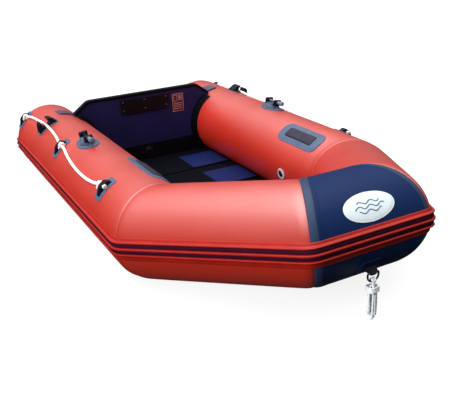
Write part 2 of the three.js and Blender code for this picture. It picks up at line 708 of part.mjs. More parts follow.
function addTubeFittings() {
  for (const [side, sign] of [['starboard', -1], ['port', 1]]) {
    const seat = station(stationMatrix(sign, SEAT_PATCH.y, SEAT_PATCH.angle));
    add(`seat_patch_${side}`, seatPatch(), MAT.patch, seat);
    const here = station(stationMatrix(sign, VALVE.y, VALVE.angle));
    add(`valve_body_${side}`, valveBody(), MAT.valve, here);
    add(`valve_cap_${side}`, valveCap(), MAT.rubber, here);
  }
}

// ---------------------------------------------------------------- bow: badge, tow ring, painter
function addBadge() {
  const outline = ellipse(BADGE.width / 2, BADGE.height / 2);
  add('bow_badge', patch(outline, 20, 104, 0.5, 2), MAT.white, station(noseMatrix(BADGE.angle)));
}

function towTab() {
  const pad = patch(roundedBox(92, 70, 20), 15, 48, 0.5, 3.6);
  const plate = polygon([
    [-27, 2], [27, 2], [20, 14], [14.5, 27], [10, 32], [-10, 32], [-14.5, 27], [-20, 14],
  ]);
  const tab = extrude(plate, 12).rotateX(Math.PI / 2).translate(0, 6, TUBE_R);
  const bore = rod(TOW.barR + 0.4, 80, 14).rotateY(Math.PI / 2).translate(-40, 0, TUBE_R + TOW.bar);
  return cut(join(pad, tab), bore);
}

// A round bar along a closed flat path in local XZ.
function closedBar(path, radius, count, sides = 8) {
  const points = path.getSpacedPoints(count).slice(0, count);
  const position = [];
  const index = [];
  for (let k = 0; k < count; k++) {
    const before = points[(k + count - 1) % count];
    const after = points[(k + 1) % count];
    const tangent = after.clone().sub(before).normalize();
    for (let j = 0; j < sides; j++) {
      const a = 2 * Math.PI * j / sides;
      const across = radius * Math.cos(a);
      position.push(points[k].x - tangent.y * across, radius * Math.sin(a), points[k].y + tangent.x * across);
      const here = k * sides;
      const next = ((k + 1) % count) * sides;
      const turn = (j + 1) % sides;
      index.push(here + j, here + turn, next + turn, here + j, next + turn, next + j);
    }
  }
  const geometry = new THREE.BufferGeometry();
  geometry.setAttribute('position', new THREE.Float32BufferAttribute(position, 3));
  geometry.setIndex(index);
  return facingOut(geometry);
}

function towRing() {
  const path = new THREE.Path();
  path.moveTo(0, 0);
  path.lineTo(16.4, 0);
  path.absarc(16.4, -6, 6, Math.PI / 2, 0, true);
  path.lineTo(22.4, -12);
  path.absellipse(0, -12, 22.4, 20, 0, -Math.PI, true);
  path.lineTo(-22.4, -6);
  path.absarc(-16.4, -6, 6, Math.PI, Math.PI / 2, true);
  path.lineTo(0, 0);
  return closedBar(path, TOW.barR, 30);
}

function addBowTackle() {
  addBadge();
  add('tow_tab', towTab(), MAT.rubber, station(noseMatrix(TOW.angle)));
  const pivot = vec(0, 0, TUBE_R + TOW.bar).applyMatrix4(noseMatrix(TOW.angle));
  const here = new THREE.Group();
  here.position.copy(pivot);
  parts.add(here);
  add('tow_ring', towRing(), MAT.steel, here);

  // the spare rope, folded into a hank that hangs on the ring under its tie
  const top = pivot.z - 32 - TOW.barR - GAP;
  const w = HANK.width / 2;
  const waist = w - 4.5;
  const outline = new THREE.Shape();
  outline.moveTo(-w, HANK.foot + w);
  outline.absarc(0, HANK.foot + w, w, Math.PI, 2 * Math.PI);
  outline.lineTo(w, HANK.tieLow - 14);
  outline.lineTo(waist, HANK.tieLow - 1);
  outline.lineTo(waist, HANK.tieHigh + 1);
  outline.lineTo(waist - 4, top - 4);
  outline.lineTo(waist - 8, top);
  outline.lineTo(-waist + 8, top);
  outline.lineTo(-waist + 4, top - 4);
  outline.lineTo(-waist, HANK.tieHigh + 1);
  outline.lineTo(-waist, HANK.tieLow - 1);
  outline.lineTo(-w, HANK.tieLow - 14);
  const hank = upright(outline, HANK.thick, pivot.y - HANK.thick / 2);
  add('painter_hank', hank, MAT.rope);
  const band = roundedBox(2 * waist + 7, HANK.thick + 4, 6);
  const inside = roundedBox(2 * waist + 0.6, HANK.thick + 0.6, 0.5);
  band.holes.push(new THREE.Path(inside.getPoints(2)));
  const tie = extrude(band, HANK.tieHigh - HANK.tieLow, 3);
  add('painter_tie', tie.translate(0, pivot.y, HANK.tieLow), MAT.rubber);
}

addTubes();
addStrake();
addBottom();
addFloor();
addTransom();
addRowlocks();
addLifelines();
addTubeFittings();
addBowTackle();

export default parts;
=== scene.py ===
"""Looks for the inflatable dinghy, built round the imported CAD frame. Metres, bow towards -Y, port at +X."""
import math
import bpy
import bmesh
import numpy as np
from mathutils import Matrix


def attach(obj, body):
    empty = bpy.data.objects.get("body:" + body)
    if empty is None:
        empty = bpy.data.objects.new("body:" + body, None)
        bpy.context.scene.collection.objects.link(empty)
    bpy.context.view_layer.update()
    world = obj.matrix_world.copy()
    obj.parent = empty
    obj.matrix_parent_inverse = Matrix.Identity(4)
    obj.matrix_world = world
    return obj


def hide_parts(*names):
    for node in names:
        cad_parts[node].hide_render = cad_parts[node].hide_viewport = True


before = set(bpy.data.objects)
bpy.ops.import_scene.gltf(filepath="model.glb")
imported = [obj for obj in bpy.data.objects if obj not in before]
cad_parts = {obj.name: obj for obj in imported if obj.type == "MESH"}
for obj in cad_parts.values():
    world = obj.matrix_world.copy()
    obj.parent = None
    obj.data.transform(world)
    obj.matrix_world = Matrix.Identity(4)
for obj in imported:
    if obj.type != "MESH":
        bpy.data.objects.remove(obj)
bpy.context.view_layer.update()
scene = bpy.context.scene
MM = 0.001
PI = math.pi

# ------------------------------------------------------------------ the hull's own dimensions
R = 0.180
AXIS = np.array([(-468, 1004, 180), (-468, -496, 180), (-142, -1018, 292),
                 (142, -1018, 292), (468, -496, 180), (468, 1004, 180)]) * MM
NOSE = np.array((0, -1018, 292)) * MM
SIDES = (("starboard", -1), ("port", 1))
SIDE_X = 0.468              # from the middle line to a side tube's axis
TRANSOM_FRONT, TRANSOM_MIDDLE = 0.723, 0.735
PIN_HEIGHT = R + 0.035      # of a rowlock pin over its tube's axis
ROPE_HEIGHT = 191.2         # of the lifeline's axis over the tube's axis where it goes through a loop, mm
SLAT_FOOT = 0.0446


# ------------------------------------------------------------------ objects and the camera
def add_object(name, data):
    made = bpy.data.objects.new(name, data)
    scene.collection.objects.link(made)
    return made


def standing(x, y, z, place):
    """The matrix of something with these axes at this place."""
    return Matrix([[float(v[k]) for v in (x, y, z, place)] for k in range(3)] + [[0, 0, 0, 1]])


def aim_camera(place, azimuth, elevation, roll, lens):
    a, e, t = (math.radians(x) for x in (azimuth, elevation, roll))
    back = np.array((math.sin(a) * math.cos(e), -math.cos(a) * math.cos(e), math.sin(e)))
    level = np.array((math.cos(a), math.sin(a), 0.0))
    rise = np.cross(back, level)
    right = math.cos(t) * level + math.sin(t) * rise
    up = -math.sin(t) * level + math.cos(t) * rise
    camera = add_object("camera", bpy.data.cameras.new("camera"))
    camera.matrix_world = standing(right, up, back, place)
    camera.data.lens = lens
    camera.data.sensor_width = 36
    camera.data.clip_start = 0.05
    camera.data.clip_end = 100
    scene.camera = camera


aim_camera((-1.2827, -2.6456, 1.2477), azimuth=-27.460, elevation=22.737, roll=-2.788, lens=53.14)


# ------------------------------------------------------------------ materials
def add_node(tree, kind, sockets=(), **settings):
    """A shader node. Each socket named gets a value, or a link from another node's output."""
    node = tree.nodes.new(kind)
    for key, value in settings.items():
        setattr(node, key, value)
    for key, value in dict(sockets).items():
        if isinstance(value, bpy.types.NodeSocket):
            tree.links.new(value, node.inputs[key])
        else:
            node.inputs[key].default_value = value
    return node


def add_ramp(tree, fac, stops):
    """A ramp through (place, colour) stops."""
    node = add_node(tree, "ShaderNodeValToRGB", {"Fac": fac})
    elements = node.color_ramp.elements
    for k, (place, colour) in ((0, stops[0]), (1, stops[-1])):
        elements[k].position, elements[k].color = place, (*colour, 1)
    for place, colour in stops[1:-1]:
        elements.new(place).color = (*colour, 1)
    return node.outputs["Color"]


class Look:
    """A material being put together: its tint so far, and its height for the bump."""

    def __init__(self, name, colour, rough, metal=0.0, specular=0.5):
        self.mat = bpy.data.materials.new(name)
        self.mat.use_nodes = True
        self.tree = self.mat.node_tree
        self.shader = self.tree.nodes["Principled BSDF"].inputs
        for key, value in (("Roughness", rough), ("Metallic", metal), ("Specular IOR Level", specular)):
            self.shader[key].default_value = value
        self.colour, self.rough = colour, rough
        self.coords = self.tree.nodes.new("ShaderNodeTexCoord").outputs
        self.height = None

    def get(self, output, kind, sockets=(), **settings):
        """One output of a new node."""
        return add_node(self.tree, kind, sockets, **settings).outputs[output]

    def noise(self, scale, detail=3.0, stretch=None, space="Object"):
        vector = self.coords[space]
        if stretch:
            vector = self.get("Vector", "ShaderNodeMapping", {"Vector": vector, "Scale": stretch})
        return self.get("Fac", "ShaderNodeTexNoise",
                        {"Vector": vector, "Scale": scale, "Detail": detail, "Roughness": 0.55})

    def spread(self, fac, low, high, a=0.3, b=0.7):
        return self.get("Result", "ShaderNodeMapRange",
                        {"Value": fac, "From Min": a, "From Max": b, "To Min": low, "To Max": high})

    def vary(self, scale, amount):
        """Patches of slightly lighter and darker colour."""
        dark, light = (tuple(min(1.0, c * f) for c in self.colour) for f in (1 - amount, 1 + amount))
        self.tint = add_ramp(self.tree, self.noise(scale, 4.0), [(0.32, dark), (0.68, light)])

    def over(self, colour, fac):
        """Another colour over the tint so far, as much as fac says."""
        self.tint = self.get("Result", "ShaderNodeMix", {"Factor": fac, "A": self.tint, "B": (*colour, 1)},
                             data_type="RGBA")

    def edges(self, colour, amount):
        """Paler worn edges, from how pointed the surface is."""
        worn = self.spread(self.get("Pointiness", "ShaderNodeNewGeometry"), 0.0, amount, 0.53, 0.60)
        broken = self.spread(self.noise(70), 0.2, 1.0)
        self.over(colour, self.get("Value", "ShaderNodeMath", {0: worn, 1: broken}, operation="MULTIPLY"))

    def rise(self, value, amount):
        """More height for the bump."""
        value = self.get("Value", "ShaderNodeMath", {0: value, 1: amount}, operation="MULTIPLY")
        if self.height is not None:
            value = self.get("Value", "ShaderNodeMath", {0: self.height, 1: value}, operation="ADD")
        self.height = value

    def weave(self, pitch, amount):
        """Crossed threads, pitch in metres."""
        sockets = {"Vector": self.coords["UV"], "Scale": 0.314 / pitch, "Distortion": 0.4, "Detail": 1.0}
        for way in ("X", "Y"):
            self.rise(self.get("Fac", "ShaderNodeTexWave", sockets, wave_type="BANDS", bands_direction=way),
                      amount)

    def done(self, bump=0.5, distance=0.0004, rough_spread=0.06, rough_scale=14):
        made = {"Base Color": self.tint}
        if rough_spread:
            made["Roughness"] = self.spread(self.noise(rough_scale), self.rough - rough_spread,
                                            self.rough + rough_spread)
        if self.height is not None:
            made["Normal"] = self.get("Normal", "ShaderNodeBump",
                                      {"Strength": bump, "Distance": distance, "Height": self.height})
        for key, value in made.items():
            self.tree.links.new(value, self.shader[key])
        return self.mat


def coated_fabric(name, colour, rough, specular=0.45, ior=1.5, weave=0.5):
    """PVC-coated cloth: a satin skin that shows its threads a little."""
    look = Look(name, colour, rough, 0.0, specular)
    look.shader["IOR"].default_value = ior
    look.vary(3.2, 0.05)
    look.weave(0.0011, weave)
    look.rise(look.noise(260, 2), 0.5)
    look.rise(look.noise(7, 2), 3.0)
    return look.done(0.35, 0.0003, 0.05, 5)


def moulded(name, colour, rough, worn, grain=1.0, specular=0.4, worn_amount=0.35, patchy=0.12):
    """Moulded rubber or plastic, with a fine grain and rubbed edges."""
    look = Look(name, colour, rough, 0.0, specular)
    look.vary(24, patchy)
    look.edges(worn, worn_amount)
    look.rise(look.noise(900, 3), grain)
    look.rise(look.noise(60, 2), 0.6)
    return look.done(0.5, 0.0003, 0.08, 40)


def painted_board():
    look = Look("painted_board", (0.0160, 0.0160, 0.0840), 0.50, 0.0, 0.16)
    look.vary(5, 0.16)
    look.rise(look.noise(1.0, 5, (9, 60, 260)), 1.0)
    look.rise(look.noise(320, 2), 0.5)
    look.edges((0.07, 0.07, 0.13), 0.4)
    return look.done(0.35, 0.0005, 0.09, 9)


def steel(name, colour, rough):
    look = Look(name, colour, rough, 1.0)
    look.vary(90, 0.12)
    look.rise(look.noise(1.0, 2, (60, 900, 900)), 1.0)
    return look.done(0.2, 0.0001, 0.08, 120)


def rope_look(name, colour, shade):
    look = Look(name, colour, 0.82, 0.0, 0.25)
    look.shader["Sheen Weight"].default_value = 0.3
    look.vary(60, 0.05)
    # darker in the hollows between strands, from how pointed the surface is: painted shade
    look.over(shade, look.spread(look.get("Pointiness", "ShaderNodeNewGeometry"), 0.75, 0.0, 0.40, 0.50))
    look.rise(look.noise(1.0, 2, (2600, 420, 1), "UV"), 1.0)
    return look.done(0.6, 0.0004, 0.05, 200)


# name, colour, roughness, then for coated_fabric() specular, index of refraction and weave, and for moulded()
# the worn edges' colour, grain, specular, how worn and how patchy
RED = coated_fabric("red_skin", (0.50, 0.019, 0.005), 0.40, 0.95, 1.92)
NAVY = coated_fabric("navy_skin", (0.0078, 0.0235, 0.087), 0.42, 0.075)
# the nose seam tape is a real tape; its blue, paler than the navy skin, is partly a painted highlight
TAPE_AND_HIGHLIGHT = coated_fabric("seam_tape", (0.024, 0.046, 0.100), 0.45, 0.25)
RED_TAPE = coated_fabric("red_seam_tape", (0.46, 0.017, 0.005), 0.44, 0.95, 1.9)
PATCH = moulded("patch_grey_blue", (0.078, 0.108, 0.178), 0.55, (0.17, 0.21, 0.30), 1.2, 0.3)
STRAKE = moulded("strake_red", (0.37, 0.012, 0.006), 0.40, (0.46, 0.06, 0.04), 0.5, 0.45)
STRAKE_DARK = moulded("strake_dark", (0.038, 0.004, 0.018), 0.60, (0.08, 0.02, 0.04), 0.8, 0.20, 0.25)
RUBBER = moulded("black_rubber", (0.0050, 0.0050, 0.0140), 0.55, (0.04, 0.045, 0.08), 1.5, 0.22, 0.25)
BLACK = moulded("black_band", (0.0025, 0.0025, 0.0050), 0.60, (0.015, 0.015, 0.03), 1.5, 0.12, 0.15)
HOLDER = moulded("holder_grey", (0.070, 0.062, 0.110), 0.55, (0.16, 0.13, 0.19), 1.2)
BOTTOM = coated_fabric("bottom_skin", (0.0020, 0.0024, 0.0050), 0.80, 0.02, 1.5, 0.9)
# slat covers near-black as painted shade, and blue panels on their port half as painted sunlight
SLAT_PAINTED_SHADE = coated_fabric("slat_dark_painted_shade", (0.0019, 0.0022, 0.0052), 0.70, 0.04, 1.5, 1.0)
SLAT_PAINTED_SUNLIGHT = coated_fabric("slat_blue", (0.0058, 0.0142, 0.0900), 0.60, 0.10, 1.5, 1.0)
BOARD = painted_board()
PAD = moulded("pad_dark", (0.0090, 0.0040, 0.0075), 0.60, (0.02, 0.012, 0.018), 2.0, 0.15)
STEEL = steel("steel", (0.20, 0.20, 0.23), 0.35)
VALVE = moulded("valve_grey", (0.44, 0.46, 0.51), 0.42, (0.7, 0.72, 0.75), 0.6)
# the pin's grey-blue is a paler copy of the patch colour: painted light against the yoke's shade on it
PIN_PAINTED_LIGHT = moulded("pin_grey_blue_painted_light", (0.165, 0.205, 0.29), 0.50, (0.30, 0.36, 0.48), 1.2, 0.3)
DRAIN = moulded("drain_grey", (0.040, 0.040, 0.052), 0.50, (0.10, 0.10, 0.12), 0.6, 0.3)
WHITE = moulded("badge_white", (0.80, 0.90, 0.94), 0.34, (0.7, 0.8, 0.85), 0.3, 0.3, 0.35, 0.03)
MOTIF = moulded("badge_motif", (0.10, 0.17, 0.24), 0.45, (0.2, 0.27, 0.35), 0.3)
PLATE = moulded("plate_red", (0.1100, 0.0150, 0.0230), 0.42, (0.2, 0.05, 0.06), 0.5)
PLATE_LINE = moulded("plate_line", (0.90, 0.46, 0.52), 0.45, (0.9, 0.5, 0.55), 0.5)
RING = steel("dark_steel", (0.10, 0.11, 0.14), 0.35)
SEAT_STRAP = moulded("seat_strap", (0.030, 0.028, 0.046), 0.60, (0.06, 0.055, 0.08), 2.5, 0.25)
# each rope's second colour is the painted shade in the hollows between its strands
ROPE = rope_look("rope_white", (0.93, 0.87, 0.82), (0.50, 0.42, 0.44))
PAINTER = rope_look("rope_painter", (0.88, 0.92, 0.96), (0.42, 0.45, 0.55))


# ------------------------------------------------------------------ mesh building
def new_mesh(name, verts, faces, uv=None, outwards=True):
    mesh = bpy.data.meshes.new(name)
    mesh.from_pydata([tuple(map(float, v)) for v in verts], [], [tuple(map(int, f)) for f in faces])
    if uv is not None:
        mesh.uv_layers.new(name="UVMap").data.foreach_set("uv", np.asarray(uv, np.float32).ravel())
    if outwards:
        work = bmesh.new()
        work.from_mesh(mesh)
        bmesh.ops.recalc_face_normals(work, faces=work.faces)
        work.to_mesh(mesh)
        work.free()
    return mesh


def piece(name, verts, faces, look, body="hull", stands_for=(), uv=None, outwards=True):
    """One visible piece, riding on a body and standing for CAD nodes."""
    mesh = new_mesh(name, verts, faces, uv, outwards)
    for face in mesh.polygons:
        face.use_smooth = True
    mesh.materials.append(look)
    made = add_object(name, mesh)
    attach(made, body)
    if stands_for:
        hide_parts(*([stands_for] if isinstance(stands_for, str) else stands_for))
    return made


def walls(n, start=0):
    """The faces between a ring of n points and the next ring."""
    return [(start + k, start + (k + 1) % n, start + n + (k + 1) % n, start + n + k) for k in range(n)]


def box_faces(n, start=0):
    """A closed shape's faces, from two rings of n points."""
    ends = [range(start + n - 1, start - 1, -1), range(start + n, start + 2 * n)]
    return [tuple(end) for end in ends] + walls(n, start)


def grid(points, loop=False, size=(1.0, 1.0)):
    """Faces and UVs of rings of points, capped at both ends unless they loop. size is the sheet's, in metres."""
    rows, columns = points.shape[:2]
    faces, uv = [], []
    dv, du = size[0] / max(1, rows - 1), size[1] / columns
    for r in range(rows if loop else rows - 1):
        s = (r + 1) % rows
        for c in range(columns):
            d = (c + 1) % columns
            faces.append((r * columns + c, r * columns + d, s * columns + d, s * columns + c))
            uv += [((c + x) * du, (r + y) * dv) for x, y in ((0, 0), (1, 0), (1, 1), (0, 1))]
    if not loop:
        faces += [tuple(range(columns - 1, -1, -1)), tuple(range((rows - 1) * columns, rows * columns))]
        uv += [(0.0, 0.0)] * (2 * columns)
    return faces, uv


def sheet_piece(name, points, look, loop=False, size=(1.0, 1.0), **more):
    """A piece from rings of points."""
    faces, uv = grid(points, loop, size)
    return piece(name, points.reshape(-1, 3), faces, look, uv=uv, **more)


def bevel(made, width, segments):
    edge = made.modifiers.new("bevel", "BEVEL")
    edge.width = width
    edge.segments = segments
    edge.limit_method = "ANGLE"
    edge.angle_limit = math.radians(35)
    edge.harden_normals = False
    normal = made.modifiers.new("normals", "WEIGHTED_NORMAL")
    normal.keep_sharp = False


def drill(made, verts, faces):
    """Cuts a closed shape out of a piece, and applies what modifiers it has."""
    tool = add_object("tool", new_mesh("tool", verts, faces))
    cutter = made.modifiers.new("cut", "BOOLEAN")
    cutter.operation = "DIFFERENCE"
    cutter.solver = "EXACT"
    cutter.object = tool
    bpy.context.view_layer.update()
    graph = bpy.context.evaluated_depsgraph_get()
    cut = bpy.data.meshes.new_from_object(made.evaluated_get(graph))
    made.modifiers.clear()
    old = made.data
    made.data = cut
    bpy.data.meshes.remove(old)
    bpy.data.objects.remove(tool)


def bend(a, corner, b, t):
    """A point on the curve from a to b that a corner pulls out, t of the way."""
    return (1 - t) ** 2 * a + 2 * t * (1 - t) * corner + t ** 2 * b


def unit(v):
    v = np.asarray(v, float)
    return v / np.linalg.norm(v, axis=-1, keepdims=True)


# ------------------------------------------------------------------ the line of tubes
def along(i):
    return unit(AXIS[i + 1] - AXIS[i])


def outward(i):
    a = along(i)
    return unit((a[1], -a[0], 0))


def upward(i):
    u = np.cross(outward(i), along(i))
    return u if u[2] > 0 else -u


def spoke(i, angle):
    angle = np.asarray(angle, float)[..., None]
    return outward(i) * np.sin(angle) + upward(i) * np.cos(angle)


def mitre(k):
    if k == 0:
        return along(0)
    if k == 5:
        return along(4)
    return unit(along(k - 1) + along(k))


def on_mitre(i, k, r, angle):
    """Where the line at radius r and angle on segment i meets the plane at its end k."""
    offset = spoke(i, angle) * np.asarray(r, float)[..., None]
    normal = mitre(k)
    slide = -(offset @ normal) / (along(i) @ normal)
    return AXIS[k] + offset + along(i) * slide[..., None]


def carried_angle(a, b, k, angle):
    offset = on_mitre(a, k, np.array(R), np.array(angle)) - AXIS[k]
    offset = offset - along(b) * (offset @ along(b))
    return math.atan2(offset @ outward(b), offset @ upward(b))


BEND = 0.040        # half the length of skin that takes a corner's turn


def corner_radius(angle, d, k):
    """How far the skin draws in at distance d from the seam at corner k."""
    draw = 0.0024 * np.exp(-d / 0.007) + 0.0012 * np.exp(-d / 0.045)
    if k in (0, 5):
        return -draw * 0.8
    inner = np.exp(-(((angle + 1.75 + PI) % (2 * PI) - PI) / 0.62) ** 2)
    folds = np.cos(angle * 43 + k) * (0.6 + 0.4 * np.cos(angle * 11 + 2 * k))
    upper = np.exp(-(((angle + 0.9 + PI) % (2 * PI) - PI) / 0.9) ** 2)
    crease = 0.0011 * inner * folds * np.exp(-d / 0.030)
    crease += 0.0010 * upper * np.cos(d / 0.0135) * np.exp(-d / 0.020)
    return crease - draw


def skin(i, angle, d, end, h=0.0):
    """A point on tube i at distance d from one end's seam (end 0 or 1), h off the skin."""
    k = i + end
    inwards = along(i) if end == 0 else -along(i)
    d = np.asarray(d, float)
    r = R + h + corner_radius(angle, d, k)
    m = on_mitre(i, k, r, angle)
    straight = m + inwards * d[..., None]
    if k in (0, 5):
        return straight
    beyond = -along(i - 1) if end == 0 else along(i + 1)
    t = np.clip((1 - d / BEND) / 2, 0, 0.5)[..., None]
    return np.where((d < BEND)[..., None], bend(m + inwards * BEND, m, m + beyond * BEND, t), straight)


NEAR = np.array([0, 1, 2.2, 3.6, 5.2, 7.2, 10, 13.5, 18, 23, 29, 36, 44, 54, 66, 82, 104, 132]) * MM
AROUND = np.linspace(-PI, PI, 144, endpoint=False)      # the angles of a tube's rows of points


def tube_rows(i, angle, middle):
    """Rows of points from seam to seam of tube i."""
    a = on_mitre(i, i, np.full_like(angle, R), angle)
    b = on_mitre(i, i + 1, np.full_like(angle, R), angle)
    length = np.linalg.norm(b - a, axis=1)
    share = np.minimum(1.0, 0.47 * length / NEAR[-1])
    first = [skin(i, angle, share * d, 0) for d in NEAR]
    last = [skin(i, angle, share * d, 1) for d in NEAR[::-1]]
    between = [first[-1] + (last[0] - first[-1]) * f for f in np.linspace(0, 1, middle + 2)[1:-1]]
    return first + between + last


def stern(i):
    """The aft end of a side tube's axis."""
    return AXIS[0 if i == 0 else 5]


def stern_cone(i, angle):
    """Rows from the tube's end to the middle of its cap, going aft."""
    shape = [(1, 178.2), (3, 178.8), (6, 179.2), (12, 178.6), (20, 176.9), (30, 174.2), (42, 170.4),
             (56, 165.4), (74, 157.8), (94, 148.5), (114, 138.3), (132, 127.8), (148, 116.2), (160, 105.8),
             (170, 95.4), (178, 86.4), (184, 80), (187, 77.6), (189, 77.9), (191.5, 78.2), (194.5, 76.2),
             (197.5, 71), (200, 63), (202, 52), (203.8, 38), (205, 22), (205.6, 8)]
    rows = []
    for d, r in shape:
        fold = np.cos(angle * 30) * 0.5 * MM * math.exp(-((d - 172) / 16) ** 2)
        rows.append(stern(i) + (0, d * MM, 0) + spoke(i, angle) * (r * MM + fold)[:, None])
    return rows


def build_tubes():
    names = ["side_tube_starboard", "bow_quarter_starboard", "bow_nose_tube", "bow_quarter_port",
             "side_tube_port"]
    for i, name in enumerate(names):
        rows = tube_rows(i, AROUND, 40 if i in (0, 4) else 10)
        if i == 0:
            rows = stern_cone(i, AROUND)[::-1] + rows
        if i == 4:
            rows = rows + stern_cone(i, AROUND)
        points = np.array(rows)
        span = float(np.linalg.norm(AXIS[i + 1] - AXIS[i]))
        made = sheet_piece(name + "_skin", points, NAVY if i == 2 else RED, size=(span, 2 * PI * R),
                           stands_for=name)


def seam_band(name, i, end, near, far, thick, look):
    """A tape laid round tube i beside its seam, from near to far in metres, thick in mm."""
    section = [(near, -0.3), (near, 0.6 * thick), (near + 0.0006, thick), (near + 0.003, thick)]
    section += [(near + (far - near) * f, thick) for f in (0.3, 0.5, 0.7, 0.9)]
    section += [(far - 0.0007, thick), (far, 0.6 * thick), (far + 0.0002, -0.3)]
    rows = []
    for d, h in section:
        wave = d + 0.0007 * np.cos(AROUND * 9 + i) * (d > near + 0.002)
        rows.append(skin(i, AROUND, wave, end, h * MM))
    sheet_piece(name, np.array(rows).transpose(1, 0, 2), look, loop=True, size=(2 * PI * R, 0.09))


def build_seams():
    seam_tape = ((-13, 179), (-13, 180.3), (-12, 180.6), (-1, 180.2), (8, 180.0), (16, 178.7), (17, 177))
    cap_ring = ((196, 40), (205.9, 40), (205.0, 43), (202.6, 56), (200.6, 66), (198.4, 68), (196, 66))
    for side, i, end in (("starboard", 0, 1), ("port", 4, 0)):
        # the tape's paler blue is partly painted highlight
        seam_band(f"nose_seam_tape_{side}", 2, 1 - end, 0.0004, 0.030, 0.9, TAPE_AND_HIGHLIGHT)
        seam_band(f"nose_seam_edge_{side}", 2, 1 - end, 0.029, 0.046, 0.5, NAVY)
        seam_band(f"corner_seam_tape_{side}", i, end, 0.0004, 0.024, 0.7, RED_TAPE)
        for name, outline, size in (("seam_tape", seam_tape, (2 * PI * R, 0.07)),
                                    ("cap_ring", cap_ring, (0.4, 0.05))):
            rows = [stern(i) + (0, d * MM, 0) + spoke(i, AROUND) * (r * MM) for d, r in outline]
            sheet_piece(f"stern_{name}_{side}", np.array(rows).transpose(1, 0, 2), RED_TAPE, loop=True,
                        size=size)


# ------------------------------------------------------------------ rubbing strake
def strake_line(t, h):
    """The strake's line round the hull for a section point t up the skin and h off it."""
    nose = math.radians(82.5)
    middle = [(PI / 2, PI / 2)] * 5
    middle[1] = (carried_angle(0, 1, 1, PI / 2), carried_angle(2, 1, 2, nose))
    middle[2] = (nose, nose)
    middle[3] = (carried_angle(2, 3, 3, nose), carried_angle(4, 3, 4, PI / 2))

    def at(i, f):
        angle = np.array(middle[i][0] + (middle[i][1] - middle[i][0]) * f - t / R)
        a, b = (on_mitre(i, k, np.array(R + h), angle) for k in (i, i + 1))
        return a + (b - a) * f

    line = []
    for i in range(5):
        a, b = at(i, 0), at(i, 1)
        length = np.linalg.norm(b - a)
        edge = BEND / length
        start = 0 if i == 0 else edge
        stop = 1 if i == 4 else 1 - edge
        line += [at(i, f) for f in np.linspace(start, stop, 14)]
        if i < 4:
            c = at(i + 1, BEND / np.linalg.norm(at(i + 1, 1) - at(i + 1, 0)))
            line += [bend(line[-1], b, c, u) for u in np.linspace(0, 1, 13)[1:-1]]
    return np.array(line)


def strake_sweep(name, section, look, stands_for):
    points = np.array([strake_line(t * MM, h * MM) for t, h in section]).transpose(1, 0, 2)
    return sheet_piece(name, points, look, size=(6.0, 0.25), stands_for=stands_for)


def build_strake():
    def rib(t, half, top):
        return [(t + half + 1.4, 4.2), (t + half + 0.5, 5.4), (t + half, 7.5), (t + half - 0.3, top - 2.4),
                (t + half - 1.2, top - 0.7), (t + 0.5, top), (t - 0.5, top), (t - half + 1.2, top - 0.7),
                (t - half + 0.3, top - 2.4), (t - half, 7.5), (t - half - 0.5, 5.4), (t - half - 1.4, 4.2)]
    back = [(-48 + 86 * k / 10, -0.4) for k in range(11)]
    front = [(38, 1.0), (37.2, 1.9), (34, 2.3), (29.5, 2.9)]
    front += rib(22.5, 3.2, 12.4) + rib(-0.8, 4.3, 13.2) + rib(-22.5, 3.2, 12.4)
    front += [(-29.5, 2.9), (-34, 2.4), (-44, 2.2), (-47.2, 1.9), (-48, 1.0)]
    strake_sweep("rub_strake_profile", back + front, STRAKE, "rub_strake")
    for name, t in (("upper", 11.5), ("lower", -11.5)):
        strip = [(t - 6.7, 4.6), (t + 6.7, 4.6), (t + 6.9, 6.4), (t + 6.2, 7.6), (t + 3.5, 8.3), (t, 8.5),
                 (t - 3.5, 8.3), (t - 6.2, 7.6), (t - 6.9, 6.4)]
        strake_sweep(f"rub_strake_inlay_{name}", strip, STRAKE_DARK, f"strake_inlay_{name}")


# ------------------------------------------------------------------ places on the tubes
class Place:
    """Local X aft (or to port on the nose), local Z straight out of the tube, origin on the tube's axis."""

    def __init__(self, origin, x, z):
        self.origin, self.x, self.z = (np.asarray(v, float) for v in (origin, x, z))
        self.y = np.cross(self.z, self.x)

    def put(self, points):
        p = np.asarray(points, float)
        return self.origin + p[..., 0:1] * self.x + p[..., 1:2] * self.y + p[..., 2:3] * self.z

    def bent(self, x, y, h):
        """Points at (x, y) on a plan laid over the tube, h off the skin."""
        x, y, h = np.broadcast_arrays(*(np.asarray(v, float) for v in (x, y, h)))
        a = np.arcsin(np.clip(y / R, -0.999, 0.999))
        return self.put(np.stack([x, (R + h) * np.sin(a), (R + h) * np.cos(a)], -1))


def side_place(sign, y, degrees):
    a = math.radians(degrees)
    return Place((sign * SIDE_X, y * MM, R), (0, 1, 0), (sign * math.sin(a), 0, math.cos(a)))


def nose_place(degrees):
    a = math.radians(degrees)
    return Place(NOSE, (1, 0, 0), (0, -math.sin(a), math.cos(a)))


def box_outline(width, height, radius, per_side=14, per_corner=8):
    """A rounded box that can be asked for at any inset."""
    def at(inset):
        r = max(radius - inset, 0.4)
        reach = np.array((width / 2 - inset - r, height / 2 - inset - r))
        centres = [reach * way for way in ((1, 1), (-1, 1), (-1, -1), (1, -1))]
        points = []
        for q, centre in enumerate(centres):
            for k in range(per_corner + 1):
                a = PI / 2 * (q + k / per_corner)
                points.append(centre + r * np.array((math.cos(a), math.sin(a))))
            start, run = points[-1], centres[(q + 1) % 4] - centre
            points += [start + run * f for f in np.linspace(0, 1, per_side + 1)[1:-1]]
        return np.array(points) * MM
    return at


def oval_outline(a, b, count=112):
    t = np.linspace(0, 2 * PI, count, endpoint=False)
    return lambda inset: np.stack([(a - inset) * np.cos(t), (b - inset) * np.sin(t)], -1) * MM


